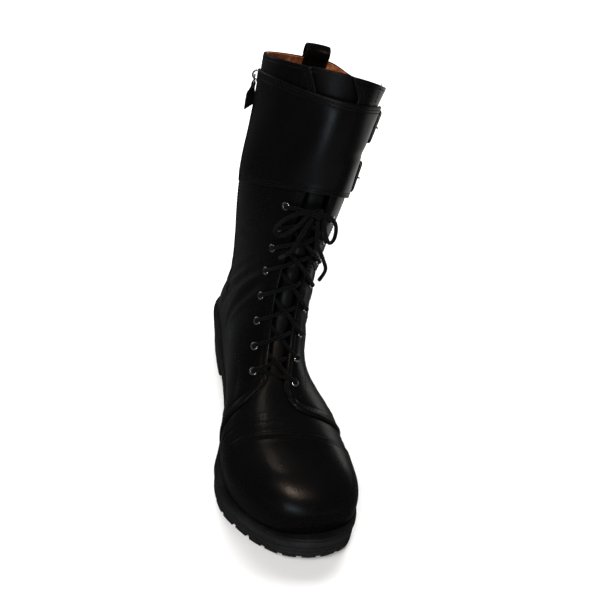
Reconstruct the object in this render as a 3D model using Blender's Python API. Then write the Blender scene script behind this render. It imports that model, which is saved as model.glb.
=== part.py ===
"""A left lace-up motorcycle boot with a buckled cuff and a side zip, size EU 39.

The boot stands on a floor at z = 0. The origin is at the middle of the heel's flat bottom, the toe
points along -Y, +X is the lateral (outer) side and +Z is up. Lengths below are in millimetres, and
"f" is the distance forward of the heel's middle, so y = -f.
"""

from math import atan2, cos, pi, radians, sin

import bmesh
import bpy
import numpy as np
from mathutils import Matrix, Vector

MM = 0.001

# ---- driving dimensions ----
GAP = 0.3  # kept between pieces that touch
SEAT_GAP = 0.6  # between the midsole and the upper's edge
LINING_WALL = 1.8  # vamp leather with its lining
QUARTER_STEP = 1.4  # the quarters and the shaft lie this much over the vamp
CAP_STEP = 0.8  # the toe cap over the vamp
EDGE_RAMP = 0.02  # part of a ring that a step in the wall takes
THROAT_RAMP = 0.003  # the same at the throat's edges, in u
LEAN = 0.157  # sideways fall of the slack shaft towards the lateral side
LEAN_START = 49.0  # height where the lean sets in above the heel
LEAN_FORWARD = (90.0, 30.0, 0.5)  # past this f it sets in higher: f, softness, rise per mm
LEAN_SOFT = 15.0
TWIST = radians(5.5)  # the instep is turned this far towards the medial side
UNTWIST = radians(2.0)  # and this much of it is lost again up the shaft
TWIST_LOW, TWIST_HIGH = 35.0, 95.0  # heights between which the turn sets in
UNTWIST_LOW, UNTWIST_HIGH = 140.0, 230.0
TWIST_CENTRE = 28.0  # f of the line that it turns about

# The upper's rings, from the toe tip to the collar and one past it. Each ring lies in a plane
# through its top (or front) point and its low (or rear) point.
# top_f, top_z, low_f, low_z: those two points; half: half width at the belly; edge: half width at
# the low point, 0 where the ring is closed; belly: height share of the widest place; n_top:
# roundness of the arc above the belly; skew: how far the widest places lie to the medial side.
RINGS = (
    (238.0, 40.0, 238.0, 29.0, 0.0, 0.0, 0.30, 2.3, 0.0),
    (235.5, 49.0, 234.5, 27.8, 21.5, 19.5, 0.30, 2.3, 0.0),
    (228.0, 58.0, 226.0, 26.0, 33.0, 30.5, 0.30, 2.3, 0.0),
    (215.0, 66.0, 212.0, 24.0, 42.0, 39.0, 0.30, 2.3, 0.0),
    (197.0, 72.0, 194.0, 22.6, 47.5, 44.0, 0.30, 2.3, 0.0),
    (175.0, 78.0, 168.0, 21.8, 48.5, 45.0, 0.30, 2.2, 0.0),
    (153.0, 85.5, 142.0, 22.2, 44.0, 41.0, 0.30, 2.1, 0.0),
    (138.0, 94.0, 115.0, 25.0, 37.5, 34.0, 0.30, 2.1, 0.0),
    (125.5, 106.0, 85.0, 29.5, 31.9, 29.5, 0.35, 2.1, 1.1),
    (115.0, 121.0, 52.0, 33.5, 30.0, 28.0, 0.38, 2.1, 1.1),
    (108.0, 137.0, 18.0, 36.5, 29.3, 27.0, 0.40, 2.1, 0.7),
    (103.0, 151.0, -10.0, 37.8, 29.6, 26.0, 0.43, 2.1, 0.2),
    (100.0, 161.0, -25.0, 38.0, 29.8, 19.5, 0.45, 2.1, -0.2),
    (98.5, 169.0, -33.0, 38.0, 29.8, 11.0, 0.45, 2.1, -0.5),
    (97.5, 176.0, -36.5, 38.5, 29.8, 0.0, 0.45, 2.1, -0.6),
    (96.5, 185.0, -39.0, 60.0, 30.5, 0.0, 0.48, 2.1, 0.0),
    (95.5, 195.0, -38.5, 88.0, 32.2, 0.0, 0.50, 2.1, 2.2),
    (94.5, 206.0, -35.0, 118.0, 34.7, 0.0, 0.50, 2.1, 4.2),
    (93.0, 221.0, -32.0, 150.0, 37.3, 0.0, 0.50, 2.1, 5.6),
    (90.5, 240.0, -30.5, 182.0, 38.7, 0.0, 0.50, 2.1, 6.7),
    (87.0, 262.0, -29.5, 213.0, 39.7, 0.0, 0.50, 2.1, 6.4),
    (83.0, 283.5, -28.0, 244.5, 41.2, 0.0, 0.50, 2.1, 5.8),
    (78.5, 306.0, -26.0, 274.5, 44.6, 0.0, 0.50, 2.1, 4.3),
    (74.0, 328.0, -24.0, 304.0, 47.0, 0.0, 0.50, 2.1, 3.5),
)
N_LOW = 2.0  # roundness of the arc below the belly
HEEL_RING = 14  # first closed ring, at the back of the heel
COLLAR_RING = 22
SLUMP = 0.25  # rings that the collar has sunk on the lateral side
SLUMP_ENDS = (-0.05, 0.45, 0.72, 0.93)  # u where it sets in, is full, begins to end and ends

# The sole's outline, heel to toe: f, x of the middle, half width.
OUTLINE = (
    (-40.5, 0.0, 0.0),
    (-37.5, 0.0, 14.0),
    (-30.0, 0.0, 23.5),
    (-18.0, 0.0, 29.5),
    (0.0, 0.0, 32.5),
    (25.0, -0.5, 33.5),
    (50.0, -1.0, 33.0),
    (80.0, -1.0, 33.5),
    (110.0, -1.0, 37.5),
    (140.0, -0.5, 46.0),
    (165.0, -2.0, 52.0),
    (190.0, -0.5, 52.0),
    (210.0, 3.5, 45.0),
    (228.0, 7.5, 35.3),
    (241.0, 10.5, 22.0),
    (246.5, 12.0, 0.0),
)
# Height of the outsole's underside: f, z.
UNDERSIDE = (
    (-60.0, 24.0),
    (52.0, 24.0),
    (62.0, 19.0),
    (78.0, 11.0),
    (95.0, 4.0),
    (110.0, 0.0),
    (205.0, 0.0),
    (222.0, 1.8),
    (236.0, 5.0),
    (250.0, 9.5),
)
INSOLE = 3.0  # thickness
MIDSOLE = 4.0  # thickness of the midsole, whose edge is the welt
HEEL_ROWS = 5.6  # outline row where the heel block ends
LUG_DEPTH = 4.5
LUG_GROOVE = 5.0
LUG_PITCH = 14.5
SOLE_GROOVES = tuple(range(118, 212, 15))  # f of the grooves across the middle
HEEL_GROOVES = (-14, 14, 29)

# The throat's opening: ring, half width, x of its middle
THROAT = (
    (0.0, 6.5, 0.0),
    (5.0, 6.5, 0.0),
    (6.5, 6.5, 1.5),
    (8.0, 7.5, 1.5),
    (10.0, 8.5, 0.0),
    (18.0, 9.0, 0.0),
    (20.0, 10.0, 0.0),
    (21.4, 14.0, -4.5),
    (22.0, 13.0, -12.0),
)
THROAT_RING = 6.5  # where the throat opens
CAP_LINE = (4.7, 0.3)  # ring of the toe cap's seam in the middle, and its fall to the sole
# The quarters' front edge: its ring at the sole, how much higher it starts at the throat, and the
# share of the way round over which it drops
QUARTER_LATERAL = (5.4, 0.8, 0.04)
QUARTER_MEDIAL = (5.5, 1.0, 0.1)
EYELET_PAIRS = 8
EYELET_PITCH = 19.6
EYELET_FIRST_RING = 7.0
EYELET_SIDES = ((7.0, 15.8), (9.0, 16.6), (12.0, 17.4))  # ring, distance from the middle line
EYELET_DROP = 6.0  # the lateral facing has slipped this far down
EYELET_SEAT = 0.8  # under the flange
EYELET_HOLE = 1.7
EYELET_BARREL = 2.1
EYELET_FLANGE = 3.4

# Zip
ZIP_RING = 11.4  # its lower end
ZIP_HALF = 4.2  # half width of the slot
ZIP_U = -0.55
CELL_GROWTH = 1.3  # the cells widen from the throat to the edge
SIDE_CELLS = 11  # cells of the upper's grid on each side of the throat
ZIP_CELL = 6  # the one that the zip's slot takes

# Cuff
CUFF_LOW, CUFF_TOP = 18.15, 21.55  # rings
CUFF_FALL = 0.3  # rings that its top edge drops towards the lateral side
CUFF_END = 0.362
CUFF_THICK = 2.0
STRAP_WIDTH, STRAP_THICK = 22.0, 2.0
STRAP_ROWS = (18.94, 20.6)  # rings of the two straps' middles
STRAP_END = 0.56
BUCKLE_ROD = 1.25  # radius
BUCKLE_FAR, BUCKLE_HINGE = 0.360, 0.445  # where its two long bars lie
HINGE_HEIGHT = 3.0  # the hinge bar's height over the surface
TONGUE_THICK = 2.0
TONGUE_RING = 22.0
TONGUE_SIDES = ((8.0, 21.0), (20.0, 24.0), (22.0, 24.0))  # ring, half width

# Zip pieces and pull
TAPE_HALF, TEETH_HALF, TEETH_TOP = 9.0, 2.8, 1.0
SLIDER_RING = 21.35
PULL_AXIS = 4.8  # height of the pull's hinge axis
LINK_HALF, LINK_LENGTH, LINK_ROD = 2.4, 6.0, 0.6  # of the pull's metal link
# The pull's leather tab: distance past the link's lower bar (negative is away from the hinge),
# half width, half thickness, turn in degrees, shift outward, slant of the row
TAB_ROWS = (
    (1.9, 1.3, 1.0, 0.0, 0.0, 0.0),
    (0.0, 1.4, 1.7, 0.0, 0.0, 0.0),
    (-2.6, 1.9, 1.4, 15.0, 0.2, 0.0),
    (-5.5, 2.9, 0.9, 45.0, 0.6, 0.0),
    (-8.5, 3.4, 0.8, 60.0, 1.0, 0.0),
    (-15.0, 3.5, 0.8, 62.0, 1.0, -1.5),
    (-17.5, 3.4, 0.7, 62.0, 1.0, -2.5),
)

# Pull loop
LOOP_WIDTH, LOOP_THICK, LOOP_BEND = 19.5, 1.4, 36.0

# Laces: each route's rows are ring, distance from the middle line, height over the surface
LACE_RADIUS = 1.5
KNOT = (17.35, 8.6)  # ring and height of the bow's knot
LACE_ROUTES = {
    "lace_loop_lateral": (
        (17.40, 4.2, 9.0),
        (17.2, 10.0, 10.0),
        (16.6, 15.0, 9.2),
        (15.9, 16.0, 9.0),
        (15.6, 12.5, 9.0),
        (16.0, 9.0, 9.0),
        (16.7, 6.2, 9.0),
        (17.25, 4.2, 9.0),
    ),
    "lace_loop_medial": (
        (17.40, -4.2, 9.0),
        (17.2, -10.0, 10.0),
        (16.6, -15.0, 9.2),
        (15.9, -16.0, 9.0),
        (15.6, -12.5, 9.0),
        (16.0, -9.0, 9.0),
        (16.7, -6.2, 9.0),
        (17.25, -4.2, 9.0),
    ),
    "lace_end_lateral": (
        (17.05, 1.6, 8.9),
        (16.3, 3.2, 8.8),
        (15.2, 5.5, 8.8),
        (14.2, 12.0, 8.8),
        (13.2, 19.0, 8.6),
        (12.4, 25.0, 5.4),
    ),
    "lace_end_medial": (
        (17.07, -1.7, 8.9),
        (16.3, -3.2, 8.8),
        (15.2, -4.5, 8.6),
        (14.2, -6.0, 8.6),
        (13.4, -9.0, 8.6),
    ),
}

COLOURS = {
    "leather": (0.012, 0.012, 0.013, 0.32, 0.0),
    "tongue_leather": (0.010, 0.010, 0.011, 0.45, 0.0),
    "rubber": (0.022, 0.023, 0.023, 0.80, 0.0),
    "welt": (0.015, 0.015, 0.016, 0.60, 0.0),
    "lining": (0.30, 0.11, 0.05, 0.75, 0.0),
    "lace": (0.010, 0.010, 0.011, 0.90, 0.0),
    "metal": (0.62, 0.62, 0.60, 0.25, 1.0),
    "zip_cloth": (0.012, 0.012, 0.013, 0.90, 0.0),
}


# ---- scene and materials ----
def clear_scene():
    for obj in list(bpy.data.objects):
        bpy.data.objects.remove(obj)


def material(name):
    found = bpy.data.materials.get(name)
    if found:
        return found
    made = bpy.data.materials.new(name)
    made.use_nodes = True
    red, green, blue, rough, metal = COLOURS[name]
    shader = made.node_tree.nodes["Principled BSDF"]
    shader.inputs["Base Color"].default_value = (red, green, blue, 1.0)
    shader.inputs["Roughness"].default_value = rough
    shader.inputs["Metallic"].default_value = metal
    made.diffuse_color = (red, green, blue, 1.0)
    return made


def add_object(name, points, faces, look):
    """A mesh object from points in millimetres as (x, f, z)."""
    scaled = np.asarray(points, float).reshape(-1, 3) * (MM, -MM, MM)
    mesh = bpy.data.meshes.new(name)
    mesh.from_pydata(scaled.tolist(), [], [list(face) for face in faces])
    work = bmesh.new()
    work.from_mesh(mesh)
    bmesh.ops.remove_doubles(work, verts=work.verts, dist=5e-6)
    bmesh.ops.dissolve_degenerate(work, dist=1e-6, edges=work.edges)
    bmesh.ops.recalc_face_normals(work, faces=work.faces)
    work.to_mesh(mesh)
    work.free()
    mesh.materials.append(material(look))
    mesh.shade_smooth()
    mesh.set_sharp_from_angle(angle=radians(35))
    obj = bpy.data.objects.new(name, mesh)
    bpy.context.collection.objects.link(obj)
    return obj


def as_cutter(obj):
    obj.hide_render = True
    obj.display_type = "WIRE"
    return obj


def boolean(obj, other, operation="DIFFERENCE"):
    cut = obj.modifiers.new(other.name, "BOOLEAN")
    cut.operation = operation
    cut.solver = "EXACT"
    cut.object = other


# ---- curves through tables ----
def through(table, t, first_sign=None, last_sign=None):
    """A Catmull-Rom curve through the table's rows at row numbers t. A sign row mirrors the curve
    at that end, so that it runs on smoothly through the middle line."""
    rows = np.array(table, float)
    before = 2 * rows[0] - rows[1] if first_sign is None else rows[1] * first_sign
    after = 2 * rows[-1] - rows[-2] if last_sign is None else rows[-2] * last_sign
    rows = np.vstack([before, rows, after])
    t = np.clip(np.asarray(t, float), 0, len(table) - 1 - 1e-9)
    index = np.floor(t).astype(int)
    s = (t - index)[..., None]
    a, b, c, d = rows[index], rows[index + 1], rows[index + 2], rows[index + 3]
    return b + s / 2 * (c - a + s * (2 * a - 5 * b + 4 * c - d + s * (3 * (b - c) + d - a)))


def column(table, t):
    """Straight interpolation in a two-column table."""
    first, second = np.array(table, float).T
    return np.interp(t, first, second)


# ---- the upper's surface ----
def eased(value, low, high):
    """0 below low and 1 above high, with a smooth step between them."""
    share = np.clip((value - low) / (high - low), 0, 1)
    return share * share * (3 - 2 * share)


def leaned(points):
    """The points after the leg's turn and the slack shaft's sideways fall."""
    x, f, z = np.moveaxis(points, -1, 0)
    turn = TWIST * eased(z, TWIST_LOW, TWIST_HIGH) - UNTWIST * eased(z, UNTWIST_LOW, UNTWIST_HIGH)
    ahead = f - TWIST_CENTRE
    x, f = x * np.cos(turn) - ahead * np.sin(turn), TWIST_CENTRE + ahead * np.cos(turn) + x * np.sin(turn)
    past, soft, rise = f - LEAN_FORWARD[0], LEAN_FORWARD[1], LEAN_FORWARD[2]
    above = z - LEAN_START - rise * (np.hypot(past, soft) + past) / 2
    reach = np.hypot(above, LEAN_SOFT)
    shift = LEAN * (reach + above) / 2
    angle = np.arctan(LEAN * (1 + above / reach) / 2)
    return np.stack([x * np.cos(angle) + shift, f, z - x * np.sin(angle)], axis=-1)


def axis_x(f):
    """x of the sole's middle line at f."""
    line = through(OUTLINE, np.linspace(0, len(OUTLINE) - 1, 120))
    return np.interp(f, line[:, 0], line[:, 1])


RING_MIRROR = np.array([1, 1, 1, 1, -1, -1, 1, 1, 1])  # widths change sign past the toe tip


def skin(v, u):
    """The vamp's surface at ring v. u runs from the ridge or front line at 0 to the edge or back
    seam at +1 on the lateral side and -1 on the medial side."""
    v, u = np.broadcast_arrays(np.asarray(v, float), np.asarray(u, float))
    odd = RING_MIRROR
    rows = through(RINGS, v, first_sign=odd)
    top_f, top_z, low_f, low_z, half, edge, belly, n_top, skew = np.moveaxis(rows, -1, 0)
    edge = np.where(v >= HEEL_RING, 0.0, np.maximum(edge, 0.0))
    table = np.array(RINGS)
    straight_z = np.interp(v, np.arange(len(table)), table[:, 3])
    low_z = np.where(v < HEEL_RING, straight_z, low_z)
    angle = np.abs(u) * pi
    upper = angle <= pi / 2
    power = 2 / np.where(upper, n_top, N_LOW)
    across = np.abs(np.sin(angle)) ** power
    along = np.abs(np.cos(angle)) ** power
    width = np.where(upper, half * across, edge + (half - edge) * across)
    rise = np.where(upper, belly + (1 - belly) * along, belly * (1 - along))
    f = low_f + rise * (top_f - low_f)
    z = low_z + rise * (top_z - low_z)
    middle = axis_x(f) - skew * (width / np.maximum(half, 1e-6)) ** 2
    return leaned(np.stack([np.sign(u) * width + middle, f, z], axis=-1))


def skin_frame(v, u):
    """Point, direction towards +u, direction towards +v and outward normal of the surface."""
    v, u = np.broadcast_arrays(np.asarray(v, float), np.asarray(u, float))
    tip = np.minimum(v / 0.06, 1.0)
    inner_v = np.clip(v, 0.06, len(RINGS) - 1.02)
    low_u, high_u = np.maximum(u - 0.004, -1), np.minimum(u + 0.004, 1)
    along_u = skin(inner_v, high_u) - skin(inner_v, low_u)
    along_v = skin(inner_v + 0.02, u) - skin(inner_v - 0.02, u)
    normal = np.cross(along_v, along_u)
    normal[..., 0] *= tip
    level = np.cross([0.0, 0.0, 1.0], along_v) * np.sign(u)[..., None]
    size = np.linalg.norm(normal, axis=-1, keepdims=True)
    level *= size / np.maximum(np.linalg.norm(level, axis=-1, keepdims=True), 1e-9)
    flat = np.where(v < HEEL_RING, np.clip((np.abs(u) - 0.8) / 0.2, 0, 1), 0)[..., None]
    normal = normal * (1 - flat) + level * flat  # the lower edge stands upright on the sole
    unit = [a / np.linalg.norm(a, axis=-1, keepdims=True) for a in (along_u, along_v, normal)]
    return skin(v, u), unit[0], unit[1], unit[2]


def lifted(v, u, height):
    """The surface moved outward by height."""
    point, _, _, normal = skin_frame(v, u)
    return point + normal * np.asarray(height, float)[..., None]


def u_at_side(v, side):
    """u of the point that lies `side` from the middle line, measured across."""
    rows = through(RINGS, v, first_sign=RING_MIRROR)
    half, n_top = rows[..., 4], rows[..., 7]
    share = np.clip(side / np.maximum(half, 1e-6), 0, 0.98)
    return np.arcsin(share ** (n_top / 2)) / pi


def u_step(v, u, length):
    """The change of u that moves the point by length along the ring."""
    v = np.asarray(v, float)
    rate = np.linalg.norm(skin(v, u + 0.01) - skin(v, u - 0.01), axis=-1) / 0.02
    return length / np.maximum(rate, 1.0)


def thick_sheet(name, outer, inner, keep, look):
    """A closed solid between two grids of points. keep marks the cells that it has."""
    rows, columns = outer.shape[:2]
    count = rows * columns
    flat = np.round(outer.reshape(-1, 3), 3)
    _, first, same = np.unique(flat, axis=0, return_index=True, return_inverse=True)
    number = first[same.reshape(-1)].reshape(rows, columns)
    faces = []
    edges = set()
    for i, j in zip(*np.nonzero(keep)):
        face = (number[i, j], number[i, j + 1], number[i + 1, j + 1], number[i + 1, j])
        faces.append(face)
        faces.append(tuple(corner + count for corner in reversed(face)))
        for a, b in zip(face, face[1:] + face[:1]):
            if (b, a) in edges:
                edges.remove((b, a))
            elif a != b:
                edges.add((a, b))
    faces += [(b, a, a + count, b + count) for a, b in sorted(edges)]
    points = np.concatenate([outer.reshape(-1, 3), inner.reshape(-1, 3)])
    used = sorted({corner for face in faces for corner in face})
    index = {old: new for new, old in enumerate(used)}
    faces = [tuple(index[corner] for corner in face) for face in faces]
    return add_object(name, points[used], faces, look)


def patch(name, v_of, u_of, low, high, size, look):
    """A sheet lying over the surface. v_of(a, b) and u_of(a, v) place it for a and b from 0 to 1;
    low and high are its two heights, or functions of (a, b)."""
    a, b = np.meshgrid(np.linspace(0, 1, size[0] + 1), np.linspace(0, 1, size[1] + 1))
    v = v_of(a, b)
    u = u_of(a, v)
    heights = [h(a, b) if callable(h) else np.full(a.shape, float(h)) for h in (low, high)]
    inner, outer = [lifted(v, u, height) for height in heights]
    keep = np.ones((size[1], size[0]), bool)
    return thick_sheet(name, outer, inner, keep, look)


# ---- upper ----
def throat_u(v, side):
    """u of the throat's edge on one side."""
    ring, half, middle = np.array(THROAT, float).T
    x = np.interp(v, ring, middle) + side * np.interp(v, ring, half)
    return np.sign(x) * u_at_side(v, np.abs(x))


def slump(u):
    """How far the slack collar has sunk at u, in rings."""
    start, full, ending, end = SLUMP_ENDS
    return SLUMP * eased(u, start, full) * (1 - eased(u, ending, end))


def cap_line(u):
    """Ring of the toe cap's seam."""
    return CAP_LINE[0] - CAP_LINE[1] * np.asarray(u) ** 2


def quarter_line(u, side):
    """Ring of the quarters' front edge at u, with the corner of each flap."""
    low, rise, drop = QUARTER_LATERAL if side > 0 else QUARTER_MEDIAL
    edge = throat_u(low + rise, side)
    share = np.clip((u - edge) / (side - edge), 0, 1)
    return low + rise * np.exp(-share / drop)


def upper_rows():
    """Row by row: the ring number as a function of u and the side, and what lies there."""
    cap = np.array([0, 0.35, 0.8, 1.4, 2.1, 2.9, 3.8, 4.75]) / 4.75
    shaft = [6.2, 6.75, 7.5, 8.3, 9.1, 9.9, 10.7, 11.4, 12.2, 13, 14, 14.6, 15.4]
    shaft += [16.2, 17.1, 18, 19, 20, 21, COLLAR_RING]

    def cap_row(share):
        return lambda u, side: cap_line(u) * share

    def vamp_row(share):
        return lambda u, side: (
            (cap_line(u) + EDGE_RAMP) * (1 - share) + quarter_line(u, side) * share
        )

    def quarter_row(number, ring):
        fade = max(0.0, 1 - number / 3) ** 1.5
        sink = max(0.0, (ring - 18) / (COLLAR_RING - 18))
        return lambda u, side: (
            ring + fade * (quarter_line(u, side) + EDGE_RAMP - shaft[0]) - sink * slump(u)
        )

    rows = [(cap_row(share), "cap") for share in cap]
    rows += [(vamp_row(share), "vamp") for share in (0, 0.5, 1)]
    rows += [(quarter_row(n, ring), "quarter") for n, ring in enumerate(shaft)]
    return rows


def side_shares(v, edge, side):
    """How far each grid line of one side lies from the throat (0) to the edge (1). On the medial
    side one cell is the zip's slot; towards the toe the lines spread evenly on both sides."""
    even = np.linspace(0, 1, SIDE_CELLS + 1) ** CELL_GROWTH
    if side > 0:
        return even
    zip_half = float(u_step(v, ZIP_U, ZIP_HALF))
    front = (ZIP_U + zip_half - edge) / (-1 - edge)
    rear = (ZIP_U - zip_half - edge) / (-1 - edge)
    zipped = np.concatenate(
        [
            front * np.linspace(0, 1, ZIP_CELL + 1) ** CELL_GROWTH,
            np.linspace(rear, 1, SIDE_CELLS - ZIP_CELL),
        ]
    )
    blend = min(v / 3, 1)
    return even * (1 - blend) + zipped * blend


def grid_place(row, side, k):
    """Ring and u of one grid point: column k of a side, or one inside the throat if k is None."""
    ring = float(row(0.5 * side, side or 1))
    u = 0.0
    for _ in range(5):  # u and the ring depend on each other a little
        if side == 0:
            u = float(throat_u(ring, 1) + throat_u(ring, -1)) / 2
            ring = float(row(throat_u(ring, 1), 1) + row(throat_u(ring, -1), -1)) / 2
            continue
        edge = float(throat_u(ring, side))
        if k is None:
            u = edge - side * THROAT_RAMP
        else:
            u = edge + (side - edge) * side_shares(ring, edge, side)[k]
        ring = float(row(u, side))
    return ring, u


def build_upper():
    last = SIDE_CELLS
    columns = [(1, k) for k in range(last, -1, -1)] + [(1, None), (0, None), (-1, None)]
    columns += [(-1, k) for k in range(last + 1)]
    v = np.zeros((len(upper_rows()), len(columns)))
    u = np.zeros_like(v)
    height = np.zeros_like(v)
    for i, (row, panel) in enumerate(upper_rows()):
        for j, (side, k) in enumerate(columns):
            v[i, j], u[i, j] = grid_place(row, side, k)
            if panel == "cap":
                height[i, j] = CAP_STEP
            elif panel == "quarter" and k is not None:
                height[i, j] = QUARTER_STEP
    keep = np.ones((v.shape[0] - 1, v.shape[1] - 1), bool)
    for i in range(keep.shape[0]):
        for j in range(keep.shape[1]):
            pair = columns[j : j + 2]
            in_throat = None in (pair[0][1], pair[1][1]) and v[i, j] > THROAT_RING - 0.1
            in_zip = pair == [(-1, ZIP_CELL), (-1, ZIP_CELL + 1)] and v[i, j] > ZIP_RING - 0.1
            keep[i, j] = not (in_throat or in_zip)
    outer = lifted(v, u, height)
    inner = lifted(v, u, np.full(v.shape, -LINING_WALL))
    for points in (outer, inner):  # the toe's middle line and the back seam close exactly
        points[0, last + 3 :] = points[0, last + 1 :: -1]
        closed = v[:, 0] >= HEEL_RING - 1e-6
        points[closed, -1] = points[closed, 0]
    upper = thick_sheet("upper", outer, inner, keep, "leather")
    for number, (ring, side) in enumerate(eyelet_places()):
        hole = turned(
            f"cut_eyelet_{number}",
            [(0.0, -6), (EYELET_BARREL + GAP, -6), (EYELET_BARREL + GAP, 6), (0.0, 6)],
            eyelet_frame(ring, side),
            "metal",
        )
        boolean(upper, as_cutter(hole))


# ---- eyelets ----
def eyelet_side(ring):
    """An eyelet's distance from the middle line."""
    return column(EYELET_SIDES, ring)


def eyelet_rings(side):
    """Ring number of each eyelet of one side, at an even pitch up the front."""
    fine = np.linspace(EYELET_FIRST_RING - 1, COLLAR_RING, 400)
    line = skin(fine, side * u_at_side(fine, eyelet_side(fine)))
    length = np.concatenate([[0], np.cumsum(np.linalg.norm(np.diff(line, axis=0), axis=1))])
    first = np.interp(EYELET_FIRST_RING, fine, length) - (EYELET_DROP if side > 0 else 0)
    return np.interp(first + EYELET_PITCH * np.arange(EYELET_PAIRS), length, fine)


def eyelet_places():
    return [(ring, side) for side in (1, -1) for ring in eyelet_rings(side)]


def eyelet_frame(ring, side):
    """Matrix with +Z along the outward normal, at the quarters' outer face."""
    u = side * float(u_at_side(ring, eyelet_side(ring)))
    point, along_u, _, normal = skin_frame(ring, u)
    return placed(point + normal * QUARTER_STEP, normal, along_u)


def placed(point, normal, across):
    """Placement with local Z on normal and local X near across, all in (x, f, z)."""
    flip = np.array([1, -1, 1])
    z = Vector(normal * flip).normalized()
    y = z.cross(Vector(across * flip)).normalized()
    x = y.cross(z)
    turn = Matrix((x, y, z)).transposed().to_4x4()
    return Matrix.Translation(Vector(point * flip) * MM) @ turn


def turned(name, profile, frame, look, sides=8):
    """A ring or disc turned about local Z: profile rows are (radius, height)."""
    points, faces = [], []
    for k in range(sides):
        angle = 2 * pi * k / sides
        points += [(r * cos(angle), -r * sin(angle), h) for r, h in profile]
    n = len(profile)
    for k in range(sides):
        here, there = k * n, (k + 1) % sides * n
        for i in range(n):
            j = (i + 1) % n
            if profile[i][0] or profile[j][0]:
                faces.append((here + i, here + j, there + j, there + i))
    obj = add_object(name, points, faces, look)
    obj.matrix_world = frame
    return obj


def build_eyelets():
    profile = [
        (EYELET_HOLE, -1.6),
        (EYELET_BARREL, -1.6),
        (EYELET_BARREL, EYELET_SEAT),
        (EYELET_FLANGE, EYELET_SEAT),
        (EYELET_HOLE + 0.4, EYELET_SEAT + 0.8),
    ]
    for number, (ring, side) in enumerate(eyelet_places()):
        name = f"eyelet_{'lateral' if side > 0 else 'medial'}_{number % EYELET_PAIRS + 1}"
        turned(name, profile, eyelet_frame(ring, side), "metal")


# ---- sole ----
def outline_point(t, side, inset):
    """(x, f) on one side of the sole's outline at row number t, moved inward by inset."""
    odd = np.array([1, 1, -1])
    last = len(OUTLINE) - 1
    step = 0.01

    def at(rows):
        mirrored = np.where((rows < 0) | (rows > last), -1, 1)
        inside = np.where(rows < 0, -rows, np.where(rows > last, 2 * last - rows, rows))
        f, x, half = np.moveaxis(through(OUTLINE, inside, odd, odd), -1, 0)
        return np.stack([x + side * mirrored * half, f], axis=-1)

    t = np.asarray(t, float)
    along = at(t + step) - at(t - step)
    along /= np.linalg.norm(along, axis=-1, keepdims=True)
    outward = side * np.stack([along[..., 1], -along[..., 0]], axis=-1)
    return at(t) - outward * inset


def seat_height(f):
    """Height of the midsole's top, where the upper's edge stands."""
    edge = skin(np.linspace(HEEL_RING - 0.01, 0.0, 300), 1.0)
    toe_f, toe_z = edge[-1, 1], edge[-1, 2]
    slope = (toe_z - edge[-25, 2]) / (toe_f - edge[-25, 1])
    beyond = np.maximum(np.asarray(f, float) - toe_f, 0) * slope
    return np.interp(f, edge[:, 1], edge[:, 2]) + beyond - SEAT_GAP


def underside(f):
    return column(UNDERSIDE, f)


def sole_loft(name, rows, profile, look, inset=0.0):
    """A solid along the outline. profile rows are (inset, height function of f), top to bottom."""
    sections = []
    for t in rows:
        ring = []
        for side in (1, -1):
            points = []
            for inward, height in profile:
                x, f = outline_point(t, side, inward + inset)
                points.append((x, f, float(height(f))))
            ring += points if side > 0 else points[::-1]
        sections.append(ring)
    count = len(sections[0])
    faces = []
    for i in range(len(sections) - 1):
        here, there = i * count, (i + 1) * count
        for k in range(count):
            j = (k + 1) % count
            faces.append((here + k, here + j, there + j, there + k))
    if rows[-1] < len(OUTLINE) - 1:  # the other ends close on the middle line
        last = (len(sections) - 1) * count
        faces.append(tuple(last + k for k in range(count)))
    return add_object(name, np.array(sections).reshape(-1, 3), faces, look)


def level(top, bottom, share):
    return lambda f: top(f) * (1 - share) + bottom(f) * share


def sole_rows(step=0.5):
    last = len(OUTLINE) - 1
    return np.concatenate([np.arange(0, last, step), [last]])


def build_midsole():
    bottom = lambda f: seat_height(f) - MIDSOLE
    profile = [
        (1.2, seat_height),
        (0.2, lambda f: seat_height(f) - 0.8),
        (0.0, lambda f: seat_height(f) - 1.8),
        (0.6, lambda f: seat_height(f) - 2.9),
        (1.3, bottom),
    ]
    sole_loft("midsole", sole_rows(0.75), profile, "welt")


def build_outsole():
    top = lambda f: seat_height(f) - MIDSOLE - GAP
    profile = [(1.6, top), (0.7, level(top, underside, 0.10))]
    for share in (0.34, 0.62):  # two grooves run round the side
        profile += [(0.8, level(top, underside, share)), (1.7, level(top, underside, share + 0.05))]
    profile += [(0.9, level(top, underside, 0.74)), (2.2, underside)]
    outsole = sole_loft("outsole", sole_rows(0.6), profile, "rubber")
    boolean(outsole, as_cutter(tread_cutter("cut_outsole", 7.9, 15.0, underside, SOLE_GROOVES)))


def heel_top(f):
    return np.full(np.shape(f), 24.0 - GAP)


def build_heel():
    ground = lambda f: np.zeros(np.shape(f))
    profile = [(1.6, heel_top), (1.8, level(heel_top, ground, 0.28))]
    profile += [(2.5, level(heel_top, ground, 0.33)), (2.0, level(heel_top, ground, 0.38))]
    profile += [(2.8, level(heel_top, ground, 0.95)), (4.0, ground)]
    heel = sole_loft("heel", np.linspace(0, HEEL_ROWS, 11), profile, "rubber")
    boolean(heel, as_cutter(tread_cutter("cut_heel", 0.0, HEEL_ROWS - 0.3, ground, HEEL_GROOVES)))


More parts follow.
